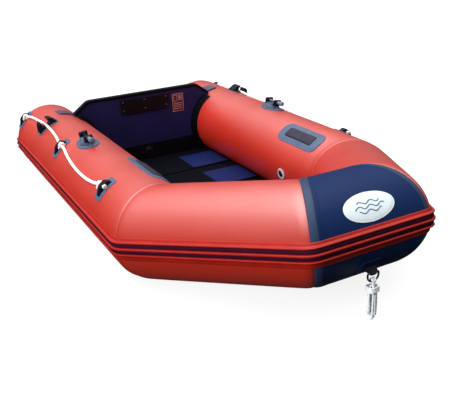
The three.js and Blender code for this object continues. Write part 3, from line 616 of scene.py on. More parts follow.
def laid(name, outline, profile, place, look, **more):
    """A pad bent over the tube. profile lists (inset, height off the skin) in mm, from the edge in."""
    rings = []
    for inset, h in profile:
        xy = outline(inset)
        rings.append(place.bent(xy[:, 0], xy[:, 1], h * MM))
    inset, h = profile[-1]
    xy = outline(inset)
    for f in (0.85, 0.7, 0.55, 0.4, 0.25, 0.12, 0.04):
        rings.append(place.bent(xy[:, 0] * f, xy[:, 1] * f, h * MM))
    points = np.array(rings)
    faces = grid(points)[0]
    points = points.reshape(-1, 3)
    return piece(name, points, faces, look, uv=planar_uv(points, faces, place), **more)


def planar_uv(points, faces, place):
    flat = np.stack([(points - place.origin) @ place.x, (points - place.origin) @ place.y], -1)
    return np.concatenate([flat[list(f)] for f in faces])


FLAT_PAD = [(0, -0.5), (0, 1.2), (0.5, 2.1), (1.4, 2.6), (3, 2.8)]


def ribbon(name, line, width, low, high, place, look, **more):
    """A thin raised line on the skin along points (x, y) in mm."""
    line = np.asarray(line, float)
    run = unit(np.gradient(line, axis=0))
    side = np.stack([-run[:, 1], run[:, 0]], -1) * width / 2
    middle = (low + high) / 2
    section = ((-1, low), (-0.95, middle), (-0.6, high), (0.6, high), (0.95, middle), (1, low))
    rows = [place.bent(*((line + side * f) * MM).T, h * MM) for f, h in section]
    return sheet_piece(name, np.array(rows).transpose(1, 0, 2), look, size=(0.1, width * MM), **more)


def prism(name, outline, depth, place_point, look, edge, segments=3, **more):
    """A flat outline (mm) given thickness and rounded edges. place_point(u, v, w) says where a point goes."""
    half = depth * MM / 2
    verts = [place_point(u, v, w) for w in (-half, half) for u, v in np.asarray(outline, float) * MM]
    made = piece(name, verts, box_faces(len(outline)), look, **more)
    bevel(made, edge, segments)
    return made


def turned(name, outline, put, look, sides=40, wobble=None, **more):
    """A shape turned about local Z. outline lists (radius, height) in mm; put places local points."""
    a = np.linspace(0, 2 * PI, sides, endpoint=False)
    rows = []
    for r, h in outline:
        rr = r * MM * (1 if wobble is None else wobble(a, r, h))
        rows.append(put(np.stack([rr * np.cos(a), rr * np.sin(a), np.full_like(a, h * MM)], -1)))
    return sheet_piece(name, np.array(rows), look, size=(0.03, 0.1), **more)


# ------------------------------------------------------------------ ropes
def smooth_line(points, spacing):
    """Points at even spacing on a smooth curve through the given ones."""
    p = np.asarray(points, float)
    ends = np.vstack([2 * p[0] - p[1], p, 2 * p[-1] - p[-2]])
    fine = []
    for k in range(1, len(ends) - 2):
        a, b, c, d = ends[k - 1:k + 3]
        for t in np.linspace(0, 1, 24, endpoint=False):
            fine.append(0.5 * (2 * b + (c - a) * t + (2 * a - 5 * b + 4 * c - d) * t ** 2
                               + (3 * b - a - 3 * c + d) * t ** 3))
    fine = np.array(fine + [p[-1]])
    s = np.concatenate([[0], np.cumsum(np.linalg.norm(np.diff(fine, axis=0), axis=1))])
    count = max(8, int(round(s[-1] / spacing)))
    want = np.linspace(0, s[-1], count + 1)
    return np.stack([np.interp(want, s, fine[:, k]) for k in range(3)], -1), float(s[-1])


def thinned(line, step):
    keep = np.linspace(0, len(line) - 1, max(20, len(line) // step)).round().astype(int)
    return line[keep].tolist()


def sides_along(line):
    """Two directions square to the line and to each other at each point, turning as little as they can."""
    run = unit(np.gradient(line, axis=0))
    side = np.zeros_like(line)
    start = np.cross(run[0], (0, 0, 1.0))
    if np.linalg.norm(start) < 0.1:
        start = np.cross(run[0], (1.0, 0, 0))
    side[0] = unit(start)
    for k in range(1, len(line)):
        side[k] = unit(side[k - 1] - run[k] * (side[k - 1] @ run[k]))
    return side, np.cross(run, side)


def braided(turn, s, d):
    """The surface of a braided rope, as a share of its radius."""
    turn, s = 4 * turn, PI * s / (0.62 * d)
    return 0.94 + 0.07 * 0.5 * (np.abs(np.cos(turn + s)) + np.abs(np.cos(turn - s)))


def laid_up(turn, s, d):
    """As braided(), for a rope of three strands laid together."""
    return 0.80 + 0.20 * np.abs(np.cos(1.5 * (turn - 2 * PI * s / (3.4 * d)))) ** 0.7


def bar(line, side, third, r, sides):
    """Rings of points round a line, at radius r, which may differ from point to point."""
    turn = np.linspace(0, 2 * PI, sides, endpoint=False)
    return (line[:, None, :] + side[:, None, :] * (r * np.cos(turn))[..., None]
            + third[:, None, :] * (r * np.sin(turn))[..., None])


def rope(name, points, d, look, surface=braided, sides=48, spacing=0.0009, **more):
    """A rope mesh on a smooth line through the points. Returns the piece, its line and its length."""
    line, length = smooth_line(points, spacing)
    s = np.linspace(0, length, len(line))
    turn = np.linspace(0, 2 * PI, sides, endpoint=False)
    from_end = np.clip(np.minimum(s, length - s) / (d * 0.35), 0, 1)
    close = np.minimum(1.0, np.sqrt(from_end * 0.98 + 0.02))
    r = d / 2 * surface(turn[None, :], s[:, None], d) * close[:, None]
    made = sheet_piece(name, bar(line, *sides_along(line), r, sides), look, size=(length, PI * d),
                       outwards=False, **more)
    return made, line, length


LIFELINE = [(1014, 43, 10.6), (1000, 43, 10.6), (981, 42.6, 10.6), (958, 40.5, 10), (925, 37.2, 7.8),
            (870, 34.6, 7.3), (800, 32.8, 7.5), (745, 31.4, 8.8), (705, 30.6, 10.8), (665, 30.3, 10.9),
            (625, 30.3, 10.8), (585, 30.5, 8.8), (530, 31.2, 7.3), (470, 32.6, 7.3), (415, 34.4, 7.7),
            (371, 36.2, 9.8), (348, 36.6, 10.6), (331, 36.7, 10.6), (314, 36.8, 10.6), (290, 37.3, 10),
            (250, 39.2, 7.7), (190, 42.4, 7.3), (130, 44.8, 7.3), (60, 46.8, 7.3), (-10, 47.8, 7.3),
            (-80, 47.8, 7.3), (-145, 46.6, 7.3), (-205, 44.2, 7.7), (-250, 41, 9.8), (-274, 39.6, 10.6),
            (-292, 39.2, 10.6), (-303, 39, 10.6)]


def route_point(sign, y, degrees, h):
    a = math.radians(degrees)
    r = R + h * MM
    return np.array((sign * (SIDE_X + math.sin(a) * r), y * MM, R + math.cos(a) * r))


def stopper(name, sign, y, degrees, coil=9.6, half=8, thick=0.0105, core=()):
    """A wrapped knot round the rope, its tail lying down the skin. With a core it closes the rope's end."""
    path = [(x, 0, ROPE_HEIGHT) for x in core]
    for k in range(33):
        t = PI * (0.35 + 4.3 * k / 32)
        path.append((half * (k / 16 - 1), -sign * coil * math.cos(t), ROPE_HEIGHT + coil * math.sin(t)))
    if not core:
        path += [(9, -sign * side, z) for side, z in ((15, 190), (21, 186.8), (24, 185.2))]
    place = side_place(sign, y, degrees)
    return rope(name, place.put(np.array(path) * MM), thick, ROPE, spacing=0.0012, sides=32)[0]


def build_lifelines():
    d = 0.013
    for side, sign in SIDES:
        points = [route_point(sign, *p) for p in LIFELINE]
        made, line, length = rope(f"lifeline_rope_{side}", points, d, ROPE, stands_for=f"lifeline_{side}")
        knots = [stopper(f"lifeline_knot_{name}_{side}", sign, *where) for name, *where in (
            ("aft", 969, 41.8), ("middle", 306, 36.8), ("front", -268, 39.9),
            ("end", -308.5, 39.0, 5.0, 3.5, 0.0085, (6, 2, -2)))]
        tuple(points[0])
        thinned(line, 12)


HITCH = np.array((0.0, -1.1910, 0.1500))


def painter_route():
    """From the ring down into a hank of six loops, each turned 30 degrees from the last."""
    wide, thick, foot, head, step = 0.0147, 0.0123, 0.0080, 0.1385, 0.0058
    points = [HITCH + (0, 0, 0.0020), HITCH + (-0.0010, -0.0022, -0.0050)]

    def at(turn, z):
        waist = 1 - 0.10 * math.exp(-((z - 0.122) / 0.018) ** 2)
        x = wide * math.cos(turn) * waist + 0.0005 * math.sin(55 * z + 5 * turn)
        return np.array((x, HITCH[1] + thick * math.sin(turn) * waist, z))

    def fold(first, second, z, way):
        a, b = at(first, z), at(second, z)
        depth = way * np.linalg.norm(b - a) / 2
        return [a + (b - a) * (1 - math.cos(PI * t)) / 2 + (0, 0, depth * math.sin(PI * t))
                for t in (1 / 6, 1 / 3, 1 / 2, 2 / 3, 5 / 6)]

    for n in range(6):
        down = -2.0 + n * PI / 6
        top = head - step * (5 - n) - wide if n else 0.1180
        low = foot + step * n + wide
        if n == 5:
            points += [at(down, z) for z in np.linspace(top, 0.0135, 9)]
            break
        points += [at(down, z) for z in np.linspace(top, low, 7)]
        points += fold(down, down + PI, low, -1)
        top = head - step * (4 - n) - wide
        points += [at(down + PI, z) for z in np.linspace(low, top, 7)]
        points += fold(down + PI, down + PI / 6, top, 1)
    return points


def fray(name, tip, look):
    """Loose yarns at the rope's cut end."""
    verts, faces = [], []
    f = np.linspace(0, 1, 7)
    golden_angle = 2.399
    for n in range(9):
        a = golden_angle * n
        out = (0.0012 + 0.0006 * (n % 4)) * f * (1 + f)
        line = tip + np.stack([out * math.cos(a), out * math.sin(a), 0.004 - 0.009 * f], -1)
        ring = bar(line, *sides_along(line), 0.0009 * np.sqrt(np.linspace(1, 0.15, 7))[:, None], 7)
        faces += [tuple(k + len(verts) for k in face) for face in grid(ring)[0]]
        verts += ring.reshape(-1, 3).tolist()
    return piece(name, verts, faces, look, body="tow_ring")


def build_painter():
    d = 0.0065
    laid_rope = dict(surface=laid_up, spacing=0.001, body="tow_ring")
    made, line, length = rope("painter_rope", painter_route(), d, PAINTER, sides=30,
                              stands_for="painter_hank", **laid_rope)
    knot = []
    for k in range(61):
        t = 2 * PI * k / 60 * 2.5
        knot.append(HITCH + (0.0085 - 0.017 * k / 60, 0.0074 * math.cos(t), 0.0052 + 0.0072 * math.sin(t)))
    hitch = rope("painter_hitch", knot, 0.006, PAINTER, sides=30, **laid_rope)[0]
    loose = fray("painter_fray", line[-1], PAINTER)
    thinned(line, 4)
    wraps = []
    for k in range(24 * 5 + 1):
        x, y = math.cos(2 * PI * k / 24), math.sin(2 * PI * k / 24)
        big = 1 / (abs(x) ** 4 + abs(y) ** 4) ** 0.25
        wraps.append((x * big * 0.0185, HITCH[1] + y * big * 0.0165, 0.1150 + 0.0200 * k / 120))
    rope("painter_tie_twine", wraps, 0.0044, PAINTER, sides=24, stands_for="painter_tie", **laid_rope)


# ------------------------------------------------------------------ fittings on the tubes
class Flat(Place):
    """As Place, for things that lie on a flat face: height is straight off the origin's plane."""

    def bent(self, x, y, h):
        x, y, h = np.broadcast_arrays(*(np.asarray(v, float) for v in (x, y, h)))
        return self.put(np.stack([x, y, h], -1))


def arc(x, z, wide, high, start, end, count):
    """Points round a centre, from one angle to another."""
    return [(x + wide * math.cos(a), z + high * math.sin(a)) for a in np.linspace(start, end, count)]


def mirrored(half):
    """Half an outline, and its mirror image coming back."""
    return half + [(-x, z) for x, z in half[::-1]]


def softened(outline, times=2):
    """Cuts the corners of a closed outline, again and again."""
    p = np.asarray(outline, float)
    for _ in range(times):
        q = np.roll(p, -1, axis=0)
        p = np.stack([p * 0.78 + q * 0.22, p * 0.22 + q * 0.78], 1).reshape(-1, 2)
    return p


def across(place):
    """For prism(): an outline drawn in local (Y, height off the skin), given thickness along X."""
    return lambda u, v, w: place.put((w, u, R + v))


def lengthwise(place):
    """For prism(): an outline drawn in local (X, height off the skin), given thickness along Y."""
    return lambda u, v, w: place.put((u, w, R + v))


def on_skin(place):
    """For turned(): about the place's Z, with heights off the skin."""
    return lambda p: place.put(p + np.array((0, 0, R)))


def on_pin(place, shift=0.0):
    """For turned(): about the rowlock pin's axis, which lies along X."""
    return lambda p: place.put(np.stack([shift + p[:, 2], p[:, 1], PIN_HEIGHT + p[:, 0]], -1))


def build_anchor(name, place, sign):
    """A patch with a strap loop. The slot for the rope lies towards the tube's top."""
    laid(name + "_pad", box_outline(64, 106, 9), FLAT_PAD, place, PATCH, stands_for=name)
    t = np.linspace(0, 1, 12)[:, None]

    def curve(points):
        """A cubic curve drawn from its four control points."""
        p = np.array(points)
        weights = ((1 - t) ** 3, 3 * t * (1 - t) ** 2, 3 * t ** 2 * (1 - t), t ** 3)
        return sum(w * q for w, q in zip(weights, p)).tolist()

    outline = [(-40, -7), (8, -7), (8, 2.7)]
    outline += arc(4, 10.2, 7.5, 7.5, PI * 1.5, PI / 2, 13) + arc(15, 10.2, 7.5, 7.5, PI / 2, -PI / 2, 13)
    outline += [(8.6, 2.7), (8.6, -7), (40, -7)]
    outline += curve([(38, 1), (32, 10), (30, 22), (16, 22)])
    outline += curve([(2, 22), (-16, 22), (-24, 8), (-38, 1)])
    outline = [(sign * y, z) for y, z in outline]
    prism(name + "_loop", outline, 25, across(place), RUBBER, 0.0014)
    for x in (-24, 24):
        line = [(x, y) for y in np.linspace(-46, 46, 20)]
        ribbon(f"{name}_weld_{'aft' if x > 0 else 'fore'}", line, 3.0, 2.6, 3.3, place, PATCH)


def build_oar_holder(side, sign):
    place = side_place(sign, 665, 29.5)
    name = f"oar_holder_{side}"
    laid(name + "_pad", box_outline(76, 118, 10), [(0, -0.5), (0, 1.6), (0.6, 2.7), (1.8, 3.2), (4, 3.3)],
         place, PATCH)
    half = [(0, 3.2), (8, 3.2), (13, 6), (18, 11), (20, 18), (19.5, 26), (16, 34), (18, 38), (23, 40),
            (32, 36), (40, 26), (46, 12), (52, 4)]
    outline = half + [(54, -12), (-54, -12)] + [(-y, z) for y, z in half[:0:-1]]
    prism(name + "_claws", softened(outline), 56, across(place), RUBBER, 0.0030, 4, stands_for=name)
    for n, x in enumerate((-19, 0, 19)):
        rib = softened([(y, z + 1.3) for y, z in half[5:12]] + [(40, 8), (26, 22)], 1)
        there = Place(place.put((x * MM, 0, 0)), place.x, place.z)
        prism(f"{name}_rib_{n + 1}", rib, 5, across(there), RUBBER, 0.0010)


def build_rowlock(side, sign):
    place = side_place(sign, 190, 8)
    base, fork, pin, body = (f"rowlock{part}_{side}" for part in ("_base", "_fork", "_pin", ""))
    rim = [(0, -0.5), (0, 2.6), (0.6, 3.7), (1.8, 4.4), (5.5, 4.5), (7, 3.7), (9, 3.0), (12, 2.9)]
    laid(base + "_flange", oval_outline(82, 48), rim, place, PATCH, stands_for=base)
    boss = [(34, 1.0), (35.2, 3.0), (34.6, 5.5), (32.6, 9), (30.6, 12.5), (29.2, 14.8), (27, 16.1),
            (10.5, 16.2), (9.2, 15.5), (8.7, 14), (8.6, 5)]
    turned(base + "_boss", boss, on_skin(place), PATCH)
    for n, d in enumerate((-1, 1)):
        rib = [(28 * d, 2.5), (73 * d, 2.5), (72 * d, 4.8), (54 * d, 7.0), (31 * d, 12.5)]
        prism(f"{base}_rib_{n + 1}", rib, 6, lengthwise(place), PATCH, 0.0014)
    right = [(47, 16.5), (47, 38)] + arc(38, 38, 9, 9, 0.2, PI - 0.2, 13)
    right += [(29, 38), (29, 25)] + arc(25, 25, 4, 4, -0.3, -PI / 2, 6)
    yoke = prism(fork + "_yoke", mirrored(right), 40, lengthwise(place), RUBBER, 0.0040, 4, body=body,
                 stands_for=fork)
    hole = 0.0048
    bore = [place.put((x, hole * math.cos(a), PIN_HEIGHT + hole * math.sin(a)))
            for x in (-0.06, 0.06) for a in np.linspace(0, 2 * PI, 28, endpoint=False)]
    drill(yoke, bore, box_faces(28))
    saddle = [(-28, 17), (28, 17), (28, 25.6), (25, 23.6), (19, 22.2), (-19, 22.2), (-25, 23.6), (-28, 25.6)]
    prism(fork + "_saddle_liner", saddle, 43, lengthwise(place), PATCH, 0.0012, body=body)
    washer = [(4.8, -1.2), (9.5, -1.2), (10.2, -0.4), (10.2, 0.4), (9.5, 1.2), (4.8, 1.2)]
    for n, x in enumerate((-0.0475, 0.0475)):
        turned(f"{fork}_washer_{n + 1}", washer, on_pin(place, x), PATCH, body=body)
    stem = [(7.5, 5), (8, 5.6), (8, 16.2), (12.5, 16.5), (13.5, 17.4), (13.5, 19.5), (12, 20.4)]
    turned(fork + "_stem", stem, on_skin(place), STEEL, body=body)
    shape = [(0.6, -87.3), (5, -87.3), (8.2, -86.6), (10.6, -84.5), (11, -83), (11, -74), (10.4, -72),
             (8.4, -70.2), (7, -68.5), (6.7, -62), (7, -52), (7, -49.2), (4.5, -49.0), (4.5, 49.2),
             (4.1, 50.2), (2.6, 51.0), (0.6, 51.2)]
    turned(pin + "_grip", shape, on_pin(place), PIN_PAINTED_LIGHT, sides=60, body=f"oar_pin_{side}", stands_for=pin,
           wobble=lambda a, r, h: 1 + (0.05 * np.cos(12 * a) if -84 < h < -73 else 0.0))


def build_seat_patch(side, sign):
    place = side_place(sign, -238, -32)
    name = f"seat_patch_{side}"
    edge = [(0, -0.5), (0, 1.4), (0.5, 2.3), (1.4, 2.7), (6, 2.8), (7, 2.4), (8.4, 2.4), (9.4, 2.8)]
    laid(name + "_pad", box_outline(300, 107, 40), edge, place, PATCH, stands_for=name)
    edge = [(0, 1.5), (0, 5.4), (0.5, 6.3), (1.4, 6.8), (3, 6.9), (4, 6.3), (5, 6.3), (6, 6.9)]
    laid(name + "_keeper", box_outline(200, 45, 5), edge, place, SEAT_STRAP)
    # black lines along the keeper's long edges stand for the gaps under the strap; their black is painted shade
    for n, y in enumerate((-24.5, 24.5)):
        ribbon(f"{name}_slot_{n + 1}", [(x, y) for x in np.linspace(-99, 99, 30)], 3.4, 2.0, 3.1, place,
               BLACK)


def build_valve(side, sign):
    place = side_place(sign, -201, -97)
    name = f"valve_body_{side}"
    outline = [(24, -1.5), (26.4, -0.6), (27, 0.6), (27, 2.0), (26.4, 3.4), (24.8, 4.4), (22.5, 4.7),
               (21.7, 4.2), (20.8, 4.2), (20, 5.0), (18.4, 5.6), (17.0, 5.1), (16.6, 4.0), (16.5, -0.4)]
    turned(name + "_ring", outline, on_skin(place), VALVE, stands_for=name, sides=56)
    cap = f"valve_cap_{side}"
    shape = [(15, -0.3), (16.2, 0.2), (16.2, 3.0), (15.4, 4.2), (13.6, 4.8), (12.6, 4.2), (11, 3.9), (3, 3.9)]
    turned(cap + "_disc", shape, on_skin(place), RUBBER, sides=60, body=cap, stands_for=cap,
           wobble=lambda a, r, h: 1 + (0.018 * np.cos(20 * a) if r > 15.2 else 0.0))
    grip = [(-11, 3.5), (11, 3.5), (11, 6.4), (9, 8.6), (-9, 8.6), (-11, 6.4)]
    prism(cap + "_grip", grip, 5, lengthwise(place), RUBBER, 0.0011, body=cap)


# ------------------------------------------------------------------ bow: badge, towing eye
def build_badge():
    place = nose_place(51)
    edge = [(0, 0.2), (0, 0.9), (0.35, 1.35), (1.1, 1.6), (3, 1.6), (3.8, 1.35), (4.6, 1.35), (5.4, 1.6)]
    laid("bow_badge_oval", oval_outline(100, 49), edge, place, WHITE, stands_for="bow_badge")
    for n, (y, reach) in enumerate(((15, 44), (0, 58), (-15, 44))):
        line = [(x, y + 4.6 * math.sin(2 * PI * x / 44 + 0.9 * n)) for x in np.linspace(-reach, reach, 70)]
        ribbon(f"bow_badge_wave_{n + 1}", line, 4.2, 1.4, 2.1, place, MOTIF)


def closed_bar(name, line, radius, look, **more):
    """A round bar on a closed line that lies square to Y."""
    line = np.asarray(line, float)
    run = unit(np.roll(line, -1, axis=0) - np.roll(line, 1, axis=0))
    side = np.tile((0.0, 1.0, 0.0), (len(line), 1))
    return sheet_piece(name, bar(line, side, np.cross(run, side), np.full((len(line), 1), radius), 24), look,
                       loop=True, size=(0.14, 0.02), **more)


def build_tow_eye():
    place = nose_place(122)
    edge = [(0, -0.5), (0, 1.8), (0.6, 3.0), (1.6, 3.5), (7, 3.6), (8, 3.1), (9.5, 3.1), (10.5, 3.6)]
    laid("tow_tab_pad", box_outline(92, 70, 20), edge, place, NAVY)
    outline = [(-27, 1), (27, 1), (20, 14), (14.5, 27), (10, 32), (-10, 32), (-14.5, 27), (-20, 14)]
    prism("tow_tab_web", softened(outline), 11.6, lengthwise(place), RUBBER, 0.0022, 4, stands_for="tow_tab")
    pivot = place.put((0, 0, R + 0.024))
    ring = arc(16.4, -6, 6, 6, PI / 2, 0, 10) + arc(0, -12, 22.4, 20, 0, -PI, 60)
    ring += arc(-16.4, -6, 6, 6, PI, PI / 2, 10) + [(x, 0) for x in np.linspace(-14, 14, 15)]
    closed_bar("tow_ring_bar", [pivot + np.array((x, 0, z)) * MM for x, z in ring], 0.0034, RING,
               body="tow_ring", stands_for="tow_ring")


# ------------------------------------------------------------------ transom
def upright(y):
    """For prism(): an outline drawn in (X, Z), given thickness along Y about y."""
    return lambda u, v, w: (u, y + w, v)


def board_outline():
    """The board's outline in mm, cut to the side tubes."""
    r, start, end = 180.4, math.radians(226.9), math.radians(112.8)
    return mirrored(arc(468, 180, r, r, start, end, 36) + [(317, 411)])


def build_trim():
    """The channel over the board's top edge, its two upper corners rounded."""
    reach = 16
    corners = [np.array(p) for p in ((393, 355.6), (317, 411.2), (-317, 411.2), (-393, 355.6))]
    path = [corners[0] + (corners[1] - corners[0]) * f for f in np.linspace(0, 1, 6)[:-1]]
    for k in (1, 2):
        a, b, c = corners[k - 1:k + 2]
        p, q = b + unit(a - b) * reach, b + unit(c - b) * reach
        path = [x for x in path if np.linalg.norm(x - b) > reach]
        path += [bend(p, b, q, u) for u in np.linspace(0, 1, 9)]
        path += [q + (c - q) * f for f in np.linspace(0, 1, 16)[1:(-1 if k == 1 else None)]]
    path = np.array(path)
    run = unit(np.gradient(path, axis=0))
    out = np.stack([run[:, 1], -run[:, 0]], -1)
    section = [(-15, -9), (-15.2, -3), (-14.8, 1.2), (-13, 3.8), (-10, 4.8), (-4, 5.0), (4, 5.0), (10, 4.8),
               (13, 3.8), (14.8, 1.2), (15.2, -3), (15, -9), (14.2, -9.6), (12.4, -9), (12.2, -0.2),
               (-12.2, -0.2), (-12.4, -9), (-14.2, -9.6)]
    rows = []
    for p, n in zip(path, out):
        rows.append([((p + n * v)[0] * MM, TRANSOM_MIDDLE + w * MM, (p + n * v)[1] * MM) for w, v in section])
    sheet_piece("transom_edge_channel", np.array(rows), BLACK, size=(0.9, 0.07),
                stands_for="transom_edge_trim")


def build_flange(side, sign):
    """The L-shaped strip that joins the transom's inner face to the tube."""
    angle = np.radians(np.linspace(28, 134, 60))
    rows = []
    for a in angle:
        leg = 17.0
        if a > PI / 2 + 0.2:
            leg = min(leg, 129 / abs(math.cos(a)) - 181)
        leg = min(leg, 9 + 26 * (a - angle[0]) / 0.30)
        leg = max(leg, 5.5)
        section = [(675, -0.3), (675, 1.2), (675.8, 2.0), (677.5, 2.3), (705, 2.3), (713, 2.8),
                   (717.5, min(5.0, leg - 1.5)), (719.6, min(9, leg - 1.0)), (720.3, min(14, leg - 0.8)),
                   (720.6, leg - 0.6), (721.2, leg), (722.9, leg), (722.9, -0.3)]
        out = np.array((-sign * math.sin(a), 0, math.cos(a)))
        rows.append([np.array((sign * SIDE_X, y * MM, R)) + out * (R + h * MM) for y, h in section])
    sheet_piece(f"transom_flange_{side}_strip", np.array(rows), BLACK, size=(0.33, 0.08),
                stands_for=f"transom_flange_{side}")


def build_pads():
    rows, columns = (0.326, 0.374), (-0.125, 0, 0.125)
    pocket, head = 0.0088, 0.7200       # the countersinks' radius, and the plane the bolts' heads lie in
    turn = np.linspace(0, 2 * PI, 32, endpoint=False)

    def pockets(y0, y1):
        """The bolts' countersinks, as shapes to cut."""
        verts, faces = [], []
        for x in columns:
            for z in rows:
                faces += box_faces(32, len(verts))
                verts += [(x + pocket * math.cos(a), y, z + pocket * math.sin(a))
                          for y in (y0, y1) for a in turn]
        return verts, faces

    def plate(name, cut, low, high, depth, middle, look, edge):
        """A plate with blunted corners, cut in mm, from low to high."""
        right = [(140 - cut, low), (140, low), (140, low + cut)]
        right += [(x, low + high - z) for x, z in right[::-1]]
        outline = softened(np.roll(mirrored(right), 2, axis=0), 1)
        return prism(name + "_plate", outline, depth, upright(middle), look, edge, stands_for=name)

    drill(plate("motor_pad_inner", 3, 310, 388, 8, 0.7187, PAD, 0.0012), *pockets(0.7000, 0.7203))
    drill(plate("motor_pad_outer", 4, 262, 396, 10, 0.7523, RUBBER, 0.0016), *pockets(0.7503, 0.7700))

    def hexagon(a, r, h):
        """Makes the nut six-sided."""
        if not (31 < h < 36 and r > 4):
            return 1.0
        return math.cos(PI / 6) / np.cos((a + PI / 6) % (PI / 3) - PI / 6) * 1.08
    shape = [(0.5, -5), (3, -4.85), (5.5, -4.1), (7.2, -2.7), (8, -0.9), (8, 0), (3, 0.1), (3, 30.6),
             (6.9, 30.7), (7, 31.1), (7, 35.4), (6.2, 35.8), (3.1, 35.8), (3, 36.4), (2.4, 36.9), (0.5, 36.9)]
    for n, (x, z) in enumerate([(x, z) for z in rows for x in columns]):
        name = f"motor_pad_bolt_{n + 1}"
        turned(name + "_turned", shape, lambda p: np.stack([x + p[:, 0], head + p[:, 2], z + p[:, 1]], -1),
               STEEL, sides=48, wobble=hexagon, stands_for=name)


def build_plate():
    """The rating plate: a frame and rules in place of its text."""
    place = Flat((0.199, 0.7227, 0.326), (1, 0, 0), (0, -1, 0))
    laid("rating_plate_blank", box_outline(73, 104, 5),
         [(0, 0), (0, 0.8), (0.4, 1.2), (1.2, 1.4), (2.5, 1.4)], place, PLATE, stands_for="rating_plate")
    verts, faces = [], []
    bars = [(-33, 33, 48, 49.6), (-33, 33, -49.6, -48), (-33, -31.4, -48, 48), (31.4, 33, -48, 48)]
    bars += [(-26, -4, 41, 42.2), (-26, -4, 8, 9.2), (-26, -24.8, 9.2, 41), (-5.2, -4, 9.2, 41)]
    bars += [(3, 26, z, z + 2.2) for z in (38, 30, 22, 14)]
    bars += [(-26, 26, z, z + 1.8) for z in (-6, -16, -26, -36)]
    for x0, x1, z0, z1 in bars:
        n = len(verts)
        for d, h in ((0, 1.2), (0, 1.6), (0.3, 1.8)):
            corners = ((x0 + d, z0 + d), (x1 - d, z0 + d), (x1 - d, z1 - d), (x0 + d, z1 - d))
            verts += [place.bent(x * MM, z * MM, h * MM) for x, z in corners]
        faces += walls(4, n) + walls(4, n + 4) + [(n + 3, n + 2, n + 1, n), (n + 8, n + 9, n + 10, n + 11)]
    piece("rating_plate_rules", verts, faces, PLATE_LINE)


def build_drain():
    def put(p):
        return np.stack([p[:, 0], TRANSOM_FRONT + p[:, 2], 0.085 + p[:, 1]], -1)
    ring = [(10, 8), (10, -2.4), (10.8, -3.2), (13, -3.4), (15.5, -3.0), (16.5, -2.2), (19.5, -2.2),
            (20.5, -3), (22.3, -2.9), (23.6, -2.2), (24, -1.2), (24, -0.2), (13.9, -0.2), (13.9, 24.2),
            (19.6, 24.2), (20, 24.8), (19.6, 27), (18, 27.6), (10.6, 27.6), (10, 27), (10, 16)]
    turned("drain_socket_ring", ring, put, DRAIN, sides=56, stands_for="drain_socket")
    plug = [(0.5, -14.2), (4, -14.2), (5.4, -13.6), (6, -12.4), (6, -8.6), (7, -7.6), (12.4, -7.0),
            (13.6, -6.4), (14, -5.4), (14, -3.8), (13.2, -3.5), (9.5, -3.4), (9.2, 17.4), (8.6, 18),
            (0.5, 18)]
    turned("drain_plug_turned", plug, put, RUBBER, sides=48, body="drain_plug", stands_for="drain_plug",
           wobble=lambda a, r, h: 1 + (0.04 * np.cos(10 * a) if r > 13 else 0.0))


def build_transom():
    prism("transom_board_panel", board_outline(), 24, upright(TRANSOM_MIDDLE), BOARD, 0.0018,
          stands_for="transom_board")
    build_trim()
    # a black sheet over the board's foot up to 121 mm: partly a foot strip, partly painted shade low on the
    # transom
    strip = [(308, 50.5), (296, 84), (289, 121), (-289, 121), (-296, 84), (-308, 50.5), (-343, 50.5),
             (-352, 42), (-176, 36.5), (0, 35), (176, 36.5), (352, 42), (343, 50.5)]
    prism("transom_foot_sheet_and_shade", strip, 2.5, upright(0.72145), BLACK, 0.0008, stands_for="transom_foot_strip")
    build_pads()
    build_plate()
    build_drain()
    for side, sign in SIDES:
        build_flange(side, sign)
        place = side_place(sign, 797.3, -19)
        name = f"transom_holder_{side}"
        laid(name + "_pad", box_outline(99, 119, 14), [(0, -0.5), (0, 1.6), (0.6, 2.6), (1.6, 3.0), (4, 3.0)],
             place, HOLDER, stands_for=name)
        laid(name + "_shoe", box_outline(24, 108, 9), [(0, 2), (0, 6.5), (0.8, 8.2), (2.2, 8.8), (4, 9.0)],
             side_place(sign, 760.5, -19), HOLDER)


# ------------------------------------------------------------------ bottom and floor
def build_bottom():
    """One skin from the transom to the nose, turned up on to the tubes along its edges."""
    off = np.array(R + 0.001)
    low = math.radians(-140)
    turns = np.radians(np.linspace(-162, -142, 5))
    rows = []

    def row(at):
        edge = [at(a) for a in turns] + [at(low)]
        left = np.array(edge)
        right = left * (-1, 1, 1)
        f = np.linspace(0, 1, 41)[1:-1, None]
        middle = left[-1] + (right[-1] - left[-1]) * f
        middle[:, 2] -= 0.007 * (1 - (2 * f[:, 0] - 1) ** 2)
        top = np.vstack([left, middle, right[::-1]])
        rows.append(np.vstack([top, (top - (0, 0, 0.0016))[::-1]]))

    for y in np.linspace(0.775, -0.44, 40):
        row(lambda a: np.array((-SIDE_X, y, R)) + spoke(0, a) * off)
    for f in np.linspace(0.04, 1, 26):
        row(lambda a: on_mitre(1, 1, off, a) * (1 - f) + on_mitre(1, 2, off, a) * f)
    sheet_piece("hull_bottom_skin", np.array(rows), BOTTOM, size=(2.0, 2.0),
                stands_for=("hull_bottom", "bow_bottom"))


